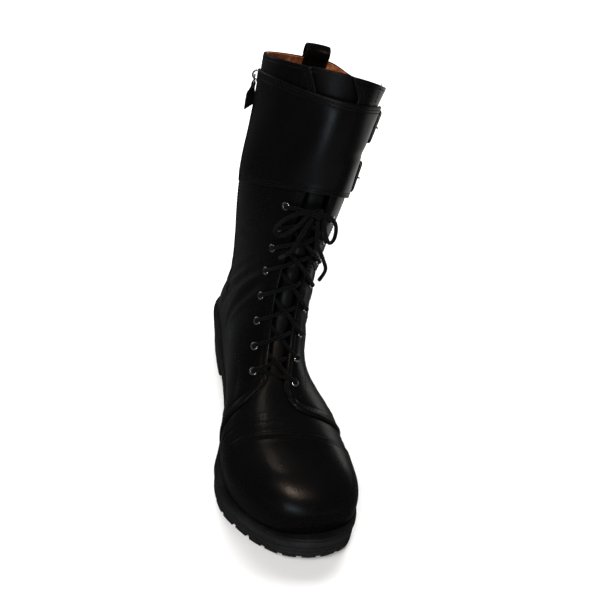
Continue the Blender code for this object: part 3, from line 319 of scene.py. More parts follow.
# ---- creases of the worn leather ----
# path of (ring, u), depth and half width in mm; each is a soft trough between two low ridges
CREASES = (
    (((5.16, -0.24), (5.12, -0.12), (5.14, -0.01), (5.20, 0.08)), 0.22, 0.75),
    (((5.27, -0.20), (5.23, -0.11), (5.24, -0.03)), 0.16, 0.70),
    (((5.42, -0.17), (5.38, -0.09), (5.40, 0.0)), 0.10, 0.80),
    (((4.64, -0.25), (4.58, -0.13), (4.60, 0.0), (4.66, 0.10)), 0.35, 1.7),
    (((4.95, -0.42), (5.08, -0.33), (5.06, -0.22)), 0.30, 1.2),
    (((4.86, -0.55), (4.96, -0.44), (4.92, -0.35)), 0.35, 1.4),
    (((5.10, 0.62), (5.12, 0.50), (5.02, 0.38)), 0.30, 1.4),
    (((6.30, -0.62), (6.35, -0.48), (6.70, -0.36)), 0.9, 2.4),
    (((6.10, 0.62), (6.20, 0.48), (6.60, 0.36)), 0.9, 2.4),
    (((9.6, -0.62), (10.0, -0.46), (10.6, -0.30), (11.0, -0.20)), 1.5, 3.6),
    (((10.9, -0.70), (11.3, -0.48), (11.9, -0.34), (12.3, -0.22)), 1.5, 3.8),
    (((12.6, -0.50), (12.9, -0.40), (13.2, -0.28)), 1.0, 3.4),
    (((8.8, 0.66), (9.0, 0.50), (9.4, 0.36), (9.8, 0.25)), 1.9, 3.8),
    (((10.8, 0.72), (11.2, 0.50), (11.8, 0.34), (12.2, 0.22)), 1.7, 4.0),
    (((12.4, 0.60), (12.8, 0.44), (13.1, 0.30), (13.3, 0.22)), 1.3, 3.6),
    (((14.5, 0.66), (14.3, 0.52), (14.4, 0.38)), 1.1, 4.0),
    (((14.9, -0.86), (14.6, -0.72), (14.7, -0.62)), 1.0, 3.6),
    (((15.0, 0.96), (14.7, 0.84), (14.9, 0.72)), 1.0, 3.6),
    (((16.2, 0.74), (16.0, 0.60), (16.2, 0.46), (16.5, 0.34)), 0.9, 4.6),
    (((17.9, 0.90), (17.6, 0.76), (17.7, 0.62)), 0.8, 5.0),
    (((16.6, -0.92), (16.3, -0.80), (16.4, -0.68)), 0.8, 4.6),
    (((16.0, -0.46), (15.8, -0.36), (16.0, -0.26)), 0.6, 3.8),
)
RIDGE_SHARE, RIDGE_AWAY, RIDGE_WIDTH = 0.5, 1.9, 1.0
CREASE_REACH = 4.2  # in half widths


def near_path(points, path):
    """Distance of each point from a path, and how far along the path its nearest place is."""
    best = np.full(len(points), 1e9)
    along = np.zeros(len(points))
    count = len(path) - 1
    for k in range(count):
        a, b = path[k], path[k + 1]
        ab = b - a
        t = np.clip((points - a) @ ab / (ab @ ab), 0, 1)
        away = np.linalg.norm(points - a - t[:, None] * ab, axis=1)
        closer = away < best
        best = np.where(closer, away, best)
        along = np.where(closer, (k + t) / count, along)
    return best, along


def flap_roll(side, inset, rings, ends):
    """Path along a facing's edge and round its lower corner, where the leather rolls up."""
    u = throat_u(rings, side)
    down = np.stack([rings, u + side * u_step(rings, u, inset)], axis=1)
    u = side * np.linspace(side * down[-1, 1] + 0.03, ends, 12)
    away = np.stack([quarter_line(u, side) + inset / 20, u], axis=1)
    return np.concatenate([down, away])


# side, distance from the edge in mm, rings down the facing, last u, height and half width in mm
ROLLS = ((1, 2.6, (9.6, 6.75), 0.62, 0.75, 1.7), (-1, 2.4, (8.6, 6.75), 0.40, 0.40, 1.6))
CREASE_LINES = [
    (lifted(*smooth_path(path, 0.25).T, 0.0), depth, width) for path, depth, width in CREASES
] + [
    (lifted(*flap_roll(side, inset, np.linspace(*ends, 14), last).T, 0.0), -height, width)
    for side, inset, ends, last, height, width in ROLLS
]


def relief(v, u):
    """Height of the worn surface over the smooth one."""
    v, u = np.broadcast_arrays(np.asarray(v, float), np.asarray(u, float))
    points = skin(v, u).reshape(-1, 3)
    total = np.zeros(len(points))
    for path, depth, width in CREASE_LINES:
        reach = CREASE_REACH * width
        low, high = path.min(0) - reach, path.max(0) + reach
        close = ((points > low) & (points < high)).all(axis=1)
        if not close.any():
            continue
        away, along = near_path(points[close], path)
        taper = np.sin(pi * np.clip(along, 0.02, 0.98)) ** 0.6
        ridge = np.exp(-(((away - RIDGE_AWAY * width) / (RIDGE_WIDTH * width)) ** 2))
        total[close] += depth * taper * (RIDGE_SHARE * ridge - np.exp(-((away / width) ** 2)))
    return total.reshape(v.shape)


def worn(v, u, height):
    """A place on the creased upper at a height over the vamp's face."""
    return lifted(v, u, height + relief(v, u))


# ---- materials ----
class Look:
    """A node material on the Principled shader, with its layers in object coordinates."""

    def __init__(self, name, **constants):
        self.material = bpy.data.materials.new(name)
        self.material.use_nodes = True
        self.tree = self.material.node_tree
        self.shader = self.tree.nodes["Principled BSDF"]
        self.fill(self.shader, {key.replace("_", " "): value for key, value in constants.items()})
        self.coords = self.node("TexCoord", "Object", {})

    def fill(self, node, inputs):
        """Links the outputs among the values, and sets the rest on the sockets."""
        for key, value in inputs.items():
            if isinstance(value, bpy.types.NodeSocket):
                self.tree.links.new(value, node.inputs[key])
            else:
                node.inputs[key].default_value = value

    def node(self, kind, output, inputs, **settings):
        node = self.tree.nodes.new("ShaderNode" + kind)
        for key, value in settings.items():
            setattr(node, key, value)
        self.fill(node, inputs)
        return node.outputs[output]

    def noise(self, scale, detail=3.0, rough=0.5):
        inputs = {"Scale": scale, "Detail": detail, "Roughness": rough, "Vector": self.coords}
        return self.node("TexNoise", "Fac", inputs)

    def cells(self, scale):
        inputs = {"Scale": scale, "Vector": self.coords}
        return self.node("TexVoronoi", "Distance", inputs, feature="SMOOTH_F1")

    def ranged(self, value, low, high, to_low=0.0, to_high=1.0):
        inputs = {"Value": value, "From Min": low, "From Max": high}
        return self.node("MapRange", "Result", {**inputs, "To Min": to_low, "To Max": to_high})

    def maths(self, operation, first, second=0.0):
        return self.node("Math", "Value", {0: first, 1: second}, operation=operation)

    def mixed(self, share, first, second):
        """Two colours mixed; 6, 7 and 2 are the node's colour sockets."""
        first, second = ((*c, 1.0) if isinstance(c, tuple) else c for c in (first, second))
        return self.node("Mix", 2, {0: share, 6: first, 7: second}, data_type="RGBA")

    def attribute(self, name):
        return self.node("Attribute", "Fac", {}, attribute_name=name)

    def finished(self, base, layers, rough=None):
        """The material, with bump from layers of (height, distance in mm)."""
        inputs = {}
        for height, distance in layers:
            values = {"Distance": distance * MM, "Height": height, **inputs}
            inputs = {"Normal": self.node("Bump", "Normal", values)}
        inputs["Base Color"] = base
        if rough is not None:
            inputs["Roughness"] = rough
        self.fill(self.shader, inputs)
        return self.material


def shaded(colour, factor, more=0.0):
    return tuple(c * factor + more for c in colour)


def leather_look(name, worn_base, rough, specular=0.12, grain=1.0):
    """Smooth leather: fine pores, long soft wrinkles, wear where the attribute says."""
    look = Look(name, Specular_IOR_Level=specular)
    patches = look.ranged(look.noise(22, 4, 0.55), 0.35, 0.7)
    scuffs = look.maths("ADD", look.ranged(look.noise(260, 3, 0.7), 0.5, 0.8), 0.35)
    share = look.maths("MINIMUM", look.maths("MULTIPLY", look.attribute("wear"), scuffs), 1.0)
    tone = look.mixed(share, look.mixed(patches, BLACK, shaded(BLACK, 1.35)), worn_base)
    even = look.ranged(look.noise(45, 5, 0.6), 0.3, 0.7, rough - 0.05, rough + 0.07)
    dull = look.maths("MULTIPLY", share, 0.25)
    layers = [(look.noise(90, 2), 0.10), (look.noise(420, 3, 0.6), 0.035 * grain)]
    layers += [(look.cells(1300), 0.030 * grain)]
    return look.finished(tone, layers, look.maths("ADD", even, dull))


def lining_look():
    look = Look("lining_cognac", Specular_IOR_Level=0.3)
    patches = look.ranged(look.noise(70, 5, 0.65), 0.42, 0.66)
    rubbed = look.ranged(look.noise(190, 4, 0.7), 0.52, 0.72)
    tone = look.mixed(patches, (0.155, 0.040, 0.014), (0.36, 0.115, 0.040))
    rough = look.ranged(look.noise(110, 3, 0.6), 0.3, 0.7, 0.42, 0.75)
    layers = [(look.noise(150, 4, 0.6), 0.25), (look.cells(900), 0.05)]
    return look.finished(look.mixed(rubbed, tone, (0.55, 0.25, 0.12)), layers, rough)


def rubber_look(name, base, rough):
    look = Look(name, Specular_IOR_Level=0.16)
    dust = look.ranged(look.noise(60, 5, 0.7), 0.45, 0.75)
    even = look.ranged(look.noise(130, 4, 0.6), 0.3, 0.7, rough - 0.08, rough + 0.1)
    layers = [(look.noise(300, 3, 0.6), 0.12), (look.noise(1500, 2, 0.6), 0.05)]
    return look.finished(look.mixed(dust, base, shaded(base, 1.7, 0.002)), layers, even)


def braid_look(name, base, per_mm, turns):
    """Braided cord: two crossing sets of strands, from the tube's own lengths and angles, with
    painted shade in the grooves between them.
    """
    look = Look(name, Roughness=0.85, Specular_IOR_Level=0.12, Sheen_Weight=0.02)
    along = look.maths("MULTIPLY", look.attribute("along"), per_mm)
    around = look.maths("MULTIPLY", look.attribute("around"), turns)
    strands = (look.maths("SINE", look.maths(way, along, around)) for way in ("ADD", "SUBTRACT"))
    ridges_and_groove_shade = look.ranged(look.maths("MAXIMUM", *strands), 0.0, 1.0)
    layers = [(ridges_and_groove_shade, 0.28), (look.noise(2500, 2, 0.6), 0.06)]
    # painted shade: the grooves between the strands are coloured half as dark as the ridges
    return look.finished(look.mixed(ridges_and_groove_shade, shaded(base, 0.5), base), layers)


def metal_look(name, base, rough):
    look = Look(name, Metallic=1.0)
    tarnish = look.ranged(look.noise(700, 3, 0.6), 0.4, 0.75)
    even = look.ranged(look.noise(1100, 2), 0.3, 0.7, rough - 0.05, rough + 0.12)
    layers = [(look.noise(1400, 2), 0.01)]
    return look.finished(look.mixed(tarnish, base, shaded(base, 0.6)), layers, even)


def cloth_look(name, base):
    """Woven tape: fine cells and noise in its surface."""
    look = Look(name, Roughness=0.9, Specular_IOR_Level=0.2)
    layers = [(look.cells(1600), 0.12), (look.noise(3000, 2), 0.05)]
    return look.finished(look.mixed(look.noise(500), base, shaded(base, 1.8)), layers)


BLACK = (0.0014, 0.0014, 0.0015)
LEATHER = leather_look("leather_black", (0.0060, 0.0054, 0.0050), 0.28)
CUFF_LEATHER = leather_look("leather_cuff", (0.0064, 0.0058, 0.0054), 0.30)
TONGUE_LEATHER = leather_look("leather_tongue", (0.0058, 0.0054, 0.0050), 0.40, 0.14, 1.2)
LINING = lining_look()
RUBBER = rubber_look("rubber_charcoal", (0.0085, 0.0090, 0.0092), 0.68)
WELT = rubber_look("welt_black", (0.0050, 0.0053, 0.0055), 0.55)
LACE = braid_look("lace_black", (0.0019, 0.0020, 0.0024), 2.6, 4.0)
THREAD = braid_look("thread_black", (0.0040, 0.0040, 0.0038), 8.0, 2.0)
SILVER = metal_look("metal_silver", (0.60, 0.60, 0.57), 0.17)
GUNMETAL = metal_look("metal_buckle", (0.10, 0.10, 0.10), 0.20)
TAPE = cloth_look("zip_cloth", (0.008, 0.008, 0.009))


# ---- mesh helpers ----
def to_frame(points):
    return np.asarray(points, float).reshape(-1, 3) * (MM, -MM, MM)


def raw_mesh(name, points, faces):
    mesh = bpy.data.meshes.new(name)
    mesh.from_pydata(to_frame(points).tolist(), [], [list(map(int, face)) for face in faces])
    return mesh


def turned_out(mesh, weld=False):
    """Turns all faces outward, after welding points that coincide if asked."""
    work = bmesh.new()
    work.from_mesh(mesh)
    if weld:
        bmesh.ops.remove_doubles(work, verts=work.verts, dist=2e-6)
        bmesh.ops.dissolve_degenerate(work, dist=1e-6, edges=work.edges)
    bmesh.ops.recalc_face_normals(work, faces=work.faces)
    work.to_mesh(mesh)
    work.free()


def piece(name, shape, look, replaces=(), body=BOOT, sharp=40):
    """One finished mesh; shape is points in mm, faces and named values per point."""
    points, faces, floats = shape
    mesh = raw_mesh(name, points, faces)
    for key, values in floats.items():
        values = np.asarray(values, np.float32).ravel()
        mesh.attributes.new(key, "FLOAT", "POINT").data.foreach_set("value", values)
    turned_out(mesh, weld=True)
    mesh.materials.append(look)
    mesh.shade_smooth()
    mesh.set_sharp_from_angle(angle=radians(sharp))
    obj = bpy.data.objects.new(name, mesh)
    bpy.context.collection.objects.link(obj)
    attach(obj, body)
    if replaces:
        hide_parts(*replaces)
    return obj


def loft_faces(rows, count, caps=True):
    """Quads round and between rows of count points, with both ends capped or as a closed loop."""
    i, k = np.indices((rows - 1 if caps else rows, count)).reshape(2, -1)
    here, there, j = i * count, (i + 1) % rows * count, (k + 1) % count
    faces = np.stack([here + k, here + j, there + j, there + k], axis=1).tolist()
    if caps:
        faces += [list(range(count)), list(range((rows - 1) * count, rows * count))]
    return faces


def closed_sheet(outer, inner, keep=None, wear=None, under=0.0):
    """A closed solid between two grids; keep marks the cells that it has. wear is the outer
    grid's value at each point, and under its share of that on the inner grid."""
    rows, columns = outer.shape[:2]
    count = rows * columns
    keep = np.ones((rows - 1, columns - 1), bool) if keep is None else keep
    flat = np.round(outer.reshape(-1, 3), 4)
    _, first, same = np.unique(flat, axis=0, return_index=True, return_inverse=True)
    number = first[same.reshape(-1)].reshape(rows, columns)
    i, j = np.nonzero(keep)
    quads = np.stack([number[i, j], number[i, j + 1], number[i + 1, j + 1], number[i + 1, j]], 1)
    sides = np.concatenate([quads[:, [k, (k + 1) % 4]] for k in range(4)])
    sides = sides[sides[:, 0] != sides[:, 1]]
    forward = sides[:, 0] * count + sides[:, 1]
    backward = sides[:, 1] * count + sides[:, 0]
    faces = [tuple(q) for q in quads] + [tuple(q[::-1] + count) for q in quads]
    faces += [(b, a, a + count, b + count) for a, b in sides[~np.isin(forward, backward)]]
    points = np.concatenate([outer.reshape(-1, 3), inner.reshape(-1, 3)])
    clean = [face for face in (tuple(dict.fromkeys(face)) for face in faces) if len(face) > 2]
    used = np.unique(np.concatenate(clean))
    index = np.zeros(len(points), int)
    index[used] = np.arange(len(used))
    floats = {}
    if wear is not None:
        floats["wear"] = np.concatenate([wear.ravel(), wear.ravel() * under])[used]
    return points[used], [tuple(index[list(face)]) for face in clean], floats


def edge_steps(seams):
    """Distances from a cut edge at which its roll and its seams need points."""
    near = [0.0, 0.3, 0.75, 1.3]
    for seam in seams:
        near += [seam - 0.5, seam, seam + 0.5]
    return np.array(near + [max(near) + 0.7])


def spaced(length, pitch=1.6, seams=(2.3,)):
    """Distances from 0 to length, close together near the edges and along their seams."""
    near = edge_steps(seams)
    end = length - near[::-1]
    count = max(1, int(round((end[0] - near[-1]) / pitch)))
    return np.concatenate([near[:-1], np.linspace(near[-1], end[0], count + 1), end[1:]])


def edge_profile(distance, seams=(2.3,)):
    """How a leather layer's face falls at its cut edge and along its rows of stitches."""
    drop = -0.55 * np.exp(-((distance / 0.38) ** 2))
    for seam in seams:
        drop = drop - 0.22 * np.exp(-(((distance - seam) / 0.5) ** 2))
    return drop


def frames_along(path):
    """Tangents and a side direction at each point of a path, without twist."""
    tangents = unit(np.gradient(path, axis=0))
    guide = np.array([0.0, 0.0, 1.0]) if abs(tangents[0, 2]) < 0.9 else np.array([1.0, 0.0, 0.0])
    side = np.cross(tangents[0], guide)
    sides = []
    for tangent in tangents:
        side = unit(side - tangent * (side @ tangent))
        sides.append(side)
    return tangents, np.array(sides)


def tube(path, radius, sides=12, closed=False):
    """A round rod along a path, with the braid's values; radius may vary."""
    path = np.asarray(path, float)
    radii = np.broadcast_to(np.asarray(radius, float), len(path)).copy()
    if closed:
        path = np.vstack([path[-2:], path, path[:2]])
        radii = np.concatenate([radii[-2:], radii, radii[:2]])
    tangents, across = frames_along(path)
    if closed:
        path, tangents, across, radii = (a[2:-2] for a in (path, tangents, across, radii))
    up = np.cross(tangents, across)
    angles = circle(sides)[:, None]
    ring = np.cos(angles) * across[:, None] + np.sin(angles) * up[:, None]
    points = (path[:, None] + ring * radii[:, None, None]).reshape(-1, 3)
    along = np.repeat(lengths(path), sides)
    around = np.tile(circle(sides), len(path))
    faces = loft_faces(len(path), sides, caps=not closed)
    if not closed:
        faces = faces[:-2]
        for end, base, sign in ((0, 0, -1), (-1, (len(path) - 1) * sides, 1)):
            tip = path[end] + tangents[end] * radii[end] * 0.45 * sign
            faces += [(base + k, base + (k + 1) % sides, len(points)) for k in range(sides)]
            points = np.vstack([points, tip])
            along, around = np.append(along, along[base]), np.append(around, 0.0)
    return points, faces, {"along": along, "around": around}


def gathered(parts, braid=False):
    """Several shapes as one, with the braid's values where it is braided."""
    points, faces, count = [], [], 0
    for part in parts:
        points.append(part[0])
        faces += [tuple(count + k for k in face) for face in part[1]]
        count += len(part[0])
    keys = ("along", "around") if braid else ()
    floats = {key: np.concatenate([part[2][key] for part in parts]) for key in keys}
    return np.concatenate(points), faces, floats


def frame_at(ring, u, height=0.0):
    """Origin, direction towards the lateral side, up the surface and outward, in millimetres."""
    point, along_u, _, normal = skin_frame(ring, u)
    up = unit(np.cross(along_u, normal))
    up = up * np.sign(up[2])
    return point + normal * height, np.cross(normal, up), up, normal


def placed_points(local, place):
    """Local (across, up, outward) points at a place from frame_at."""
    origin, across, up, normal = place
    local = np.asarray(local, float)
    return origin + local[..., :1] * across + local[..., 1:2] * up + local[..., 2:3] * normal


def turned_part(profile, place, sides=28):
    """A ring turned about the outward direction; profile rows are (radius, height)."""
    radius, height = np.array(profile, float).T
    angles = circle(sides)[:, None]
    local = np.stack(
        [np.cos(angles) * radius, np.sin(angles) * radius, height + 0 * angles], axis=-1
    )
    return placed_points(local.reshape(-1, 3), place), loft_faces(sides, len(radius), caps=False)


# ---- floor, lights and camera ----
def build_stage():
    mesh = bpy.data.meshes.new("floor")
    mesh.from_pydata([(-3, -3, 0), (3, -3, 0), (3, 3, 0), (-3, 3, 0)], [], [(0, 1, 2, 3)])
    floor = bpy.data.objects.new("floor", mesh)
    look = Look("floor_plain", Roughness=0.9, Specular_IOR_Level=0.1)
    tone = look.mixed(look.noise(3, 2), (0.90, 0.90, 0.90), (0.92, 0.92, 0.92))
    look.fill(look.shader, {"Base Color": tone})
    mesh.materials.append(look.material)
    bpy.context.collection.objects.link(floor)
    floor.visible_glossy = False
    world = bpy.data.worlds.new("studio")
    world.use_nodes = True
    background = world.node_tree.nodes["Background"]
    background.inputs["Color"].default_value = (0.95, 0.97, 1.0, 1.0)
    background.inputs["Strength"].default_value = WORLD_LIGHT
    bpy.context.scene.world = world
    bpy.context.scene.view_settings.view_transform = "Standard"


def area_light(name, place, target, size, watts, colour):
    light = bpy.data.lights.new(name, "AREA")
    light.shape = "RECTANGLE"
    light.size, light.size_y = size
    light.energy = watts
    light.color = colour
    obj = bpy.data.objects.new(name, light)
    obj.location = place
    obj.rotation_mode = "QUATERNION"
    obj.rotation_quaternion = (Vector(target) - Vector(place)).to_track_quat("-Z", "Y")
    obj.visible_diffuse = name.startswith("light")
    obj.visible_glossy = name.startswith("shine")
    obj.visible_camera = False
    bpy.context.collection.objects.link(obj)


WORLD_LIGHT = 0.07
# name, place, aim and size in metres, watts, colour; a light_ gives soft light, a shine_ gloss
LIGHTS = (
    ("light_back", (0.4, 1.5, 2.4), (0, 0, 0), (2.6, 1.8), 130, (1.0, 0.99, 0.98)),
    ("light_front", (-0.9, -1.6, 2.3), (0, 0, 0.1), (1.6, 1.2), 75, (1.0, 0.99, 0.97)),
    ("shine_toe", (-0.03, -1.18, 1.34), (0, -0.22, 0.06), (0.24, 0.14), 8.5, (1.0, 0.78, 0.62)),
    ("shine_low", (-0.27, -1.6, 0.33), (0, -0.2, 0.06), (0.36, 0.32), 3.2, (0.72, 0.88, 1.0)),
    ("shine_top", (-0.1, -0.2, 1.9), (0, -0.1, 0.1), (0.16, 0.14), 2.6, (1.0, 0.83, 0.70)),
    ("shine_side", (1.3, 0.7, 0.12), (0.05, -0.15, 0.05), (0.4, 0.2), 0.7, (0.97, 1.0, 0.93)),
    ("shine_left", (-1.0, 1.2, 0.3), (0, 0, 0.15), (0.8, 0.5), 1.0, (1.0, 1.0, 1.0)),
    ("shine_floor", (0.6, 0.4, 0.01), (0.6, 0.4, 1), (0.8, 0.9), 1.6, (0.97, 1.0, 0.94)),
    ("shine_ahead", (0, -1.0, 0.01), (0, -1.0, 1), (1.6, 0.9), 1.8, (1.0, 1.0, 1.0)),
)

CAMERA_PLACE = (-0.139, -0.5975, 0.538)
CAMERA_AHEAD = (0.173, 0.985)  # level direction that the camera looked along
CAMERA_PITCH, CAMERA_ROLL = radians(37.9), radians(3.64)
CAMERA_YAW, CAMERA_DIP = radians(5.75), radians(0.55)  # turned to bring the one boot to the middle
CAMERA_LENS = 51.5


def build_camera():
    level = Vector((*CAMERA_AHEAD, 0)).normalized()
    ahead = level * cos(CAMERA_PITCH) - Vector((0, 0, sin(CAMERA_PITCH)))
    right = Vector((level.y, -level.x, 0))
    turn = Matrix((right, right.cross(ahead), -ahead)).transposed()
    for angle, axis in ((CAMERA_ROLL, "Z"), (-CAMERA_YAW, "Y"), (-CAMERA_DIP, "X")):
        turn = turn @ Matrix.Rotation(angle, 3, axis)
    data = bpy.data.cameras.new("camera")
    data.sensor_width = 36.0
    data.lens = CAMERA_LENS
    data.clip_start = 0.01
    camera = bpy.data.objects.new("camera", data)
    camera.matrix_world = Matrix.Translation(CAMERA_PLACE) @ turn.to_4x4()
    bpy.context.collection.objects.link(camera)
    bpy.context.scene.camera = camera


# ---- stitches ----
SEAM_SINK, FLAT_SINK = 0.12, 0.02  # how far threads lie under the leather's face
# rows of stitches, in mm from the cut edge that they follow
CAP_SEAMS, FLAP_SEAMS, THROAT_SEAMS, CUFF_SEAMS = (1.9, 4.2), (2.1, 4.2), (2.3, 4.6), (2.6, 4.8)
COLLAR_SEAM, ZIP_SEAM, LOOP_SEAM = 2.6, 2.3, 2.0
SEWN = []


def thread(points, normals, pitch=3.1, length=2.2, radius=0.26):
    """Notes a row of short threads at an even pitch along a path and its outward directions."""
    both = resampled(np.hstack([points, normals * 1e-3]), pitch)
    ahead, out = unit(np.gradient(both[:, :3], axis=0)), unit(both[:, 3:])
    SEWN.extend((p, d, n, length, radius) for p, d, n in zip(both[:, :3], ahead, out))


def sew(v, u, height, pitch=3.1):
    """A row of threads over the worn upper."""
    thread(worn(v, u, np.full(len(v), height)), skin_frame(v, u)[3], pitch)


def build_stitches():
    """All rows of stitches as one mesh: each is a short bowed thread, sunk at both ends."""
    shares = np.array([-0.5, -0.36, -0.12, 0.12, 0.36, 0.5])
    bow = np.array([-0.45, 0.05, 0.30, 0.30, 0.05, -0.45])
    thick = np.array([0.55, 0.95, 1.0, 1.0, 0.95, 0.55])
    sides = 6
    angles = circle(sides)
    faces, parts = loft_faces(len(shares), sides), []
    for place, ahead, out, length, radius in SEWN:
        across = np.cross(ahead, out)
        centre = place + ahead * (shares * length)[:, None] + out * (bow * radius)[:, None]
        ring = np.cos(angles)[:, None] * across + np.sin(angles)[:, None] * out
        points = (centre[:, None] + ring * (thick * radius)[:, None, None]).reshape(-1, 3)
        along = np.repeat(shares * length, sides)
        parts.append((points, faces, {"along": along, "around": np.tile(angles, len(shares))}))
    piece("stitches", gathered(parts, braid=True), THREAD, sharp=80)


CAP_MM = 22  # length of one ring number at the toe cap


# ---- vamp and toe cap ----
def build_vamp():
    """From the toe to under the quarters; the cap's edge stands over the vamp."""
    u = np.linspace(-1, 1, 181)
    edge = {s: float(throat_u(6.4, s)) for s in (1, -1)}
    ends = {s: quarter_line(np.where(s * u > s * edge[s], u, edge[s]), s) for s in (1, -1)}
    between = np.clip((u - edge[-1]) / (edge[1] - edge[-1]), 0, 1)
    front = ends[-1] * (1 - between) + ends[1] * between
    hidden = eased(np.maximum(u - edge[1], edge[-1] - u), 0.0, 0.02)
    cap, level = cap_line(u), np.zeros(u.shape)
    rows = []  # the ring and the height of each row
    toe_shares = np.append(np.linspace(0, 1, 70)[:-1] ** 1.15 * 0.93, np.linspace(0.93, 1, 12))
    for share in toe_shares:
        away = (1 - share) * CAP_LINE[0] * CAP_MM
        rows.append((cap * share, level + CAP_STEP + edge_profile(away, CAP_SEAMS)))
    rows += [(cap + gap, level + h) for gap, h in ((0.006, 0.15), (0.012, -0.12), (0.03, -0.05))]
    for share in np.linspace(0, 1, 42)[1:]:
        ring = (cap + 0.03) * (1 - share) + front * share
        rows.append((ring, -eased(share, 0.93, 1.0) * 0.25 * hidden))
    for gap, h in ((0.04, 0.4), (0.12, 0.6), (0.24, 0.7), (0.4, 0.7)):
        rows.append((front + gap, -h * hidden))
    v, height = np.array(rows).transpose(1, 0, 2)
    u = np.broadcast_to(u, v.shape)
    outer, inner = worn(v, u, height), lifted(v, u, np.full(v.shape, -WALL))
    middle = v.shape[1] // 2
    for grid in (outer, inner):
        grid[0, middle + 1 :] = grid[0, middle - 1 :: -1]
    low = np.clip((np.abs(u) - 0.62) / 0.38, 0, 1)
    wear = 0.35 * np.exp(-v / 1.2) + 0.25 * low + 0.15 * (height < 0.3)
    piece("vamp", closed_sheet(outer, inner, wear=wear), LEATHER, ["upper"])
    for inset in CAP_SEAMS:
        across = np.linspace(-0.97, 0.97, 121)
        sew(cap_line(across) - inset / CAP_MM, across, CAP_STEP - SEAM_SINK, pitch=2.9)


# ---- quarters and shaft ----
FLAP_RING = 6.2  # number of a quarter's first row
QUARTER_RINGS = [FLAP_RING, 6.75, 7.5, 8.3]  # where the flap's edge line fades into plain rings
SLOT_MARGIN = 3.4  # beside the zip's slot


def quarter_ring(ring, u, side):
    """The ring of a quarter's row, from its front edge to the sunken collar."""
    number = np.interp(ring, QUARTER_RINGS, range(4))
    fade = np.maximum(0.0, 1 - number / 3) ** 1.5
    sink = np.clip((ring - 18) / (COLLAR_RING - 18), 0, 1)
    return ring + fade * (quarter_line(u, side) - FLAP_RING) - sink * slump(u)


def quarter_columns(side):
    """Columns of one side as (kind, distance in mm from the throat's or the zip slot's edge, or
    share of a plain part)."""
    columns = [("throat", d) for d in edge_steps(THROAT_SEAMS)]
    if side > 0:
        return columns + [("back", s) for s in np.linspace(0, 1, 78)[1:]]
    slot = [SLOT_MARGIN, 2.8, 2.3, 1.8, 1.3, 0.75, 0.3, 0.0]
    columns += [("front", s) for s in np.linspace(0, 1, 40)[1:-1]]
    columns += [("slot_front", d) for d in slot]
    columns += [("slot", s) for s in np.linspace(0, 1, 7)[1:-1]]
    columns += [("slot_rear", d) for d in slot[::-1]]
    return columns + [("back", s) for s in np.linspace(0, 1, 34)[1:]]


def quarter_grid(side, rings):
    """v, u and the columns' kinds; u and v depend on each other, so they are found in rounds."""
    columns = quarter_columns(side)
    v = np.repeat(rings[:, None], len(columns), axis=1)
    u = np.zeros(v.shape)
    last_throat = max(d for kind, d in columns if kind == "throat")
    for _ in range(4):
        for j, (kind, amount) in enumerate(columns):
            ring = v[:, j]
            edge = throat_u(ring, side)
            inner = edge + side * u_step(ring, edge, last_throat)
            half = u_step(ring, ZIP_U, ZIP_HALF)
            margin = u_step(ring, ZIP_U, SLOT_MARGIN)
            if kind == "throat":
                u[:, j] = edge + side * u_step(ring, edge, amount)
            elif kind == "front":
                u[:, j] = inner * (1 - amount) + (ZIP_U + half + margin) * amount
            elif kind == "slot_front":
                u[:, j] = ZIP_U + half + u_step(ring, ZIP_U, amount)
            elif kind == "slot":
                u[:, j] = ZIP_U + half * (1 - 2 * amount)
            elif kind == "slot_rear":
                u[:, j] = ZIP_U - half - u_step(ring, ZIP_U, amount)
            else:
                start = inner if side > 0 else ZIP_U - half - margin
                u[:, j] = start * (1 - amount) + side * amount
            v[:, j] = quarter_ring(rings, u[:, j], side)
    return v, u, columns


def quarter_rings(fine):
    """Ring numbers of the rows, close together at the flap's edge and at the collar."""
    near = np.array([0.0, 0.012, 0.03, 0.055, 0.085, 0.105, 0.125, 0.16, 0.19, 0.21, 0.23, 0.26])
    top = np.array([0.17, 0.14, 0.115, 0.09, 0.06, 0.035, 0.015, 0.0])
    plain = np.linspace(FLAP_RING + 0.26, COLLAR_RING - 0.17, fine)[1:-1]
    return np.concatenate([FLAP_RING + near, plain, COLLAR_RING - top])


FACING_COLUMNS = 27  # columns from the throat that black leather lines
FLAP_MM, COLLAR_MM = 20.0, 24.0  # length of one ring number at the flap and at the collar


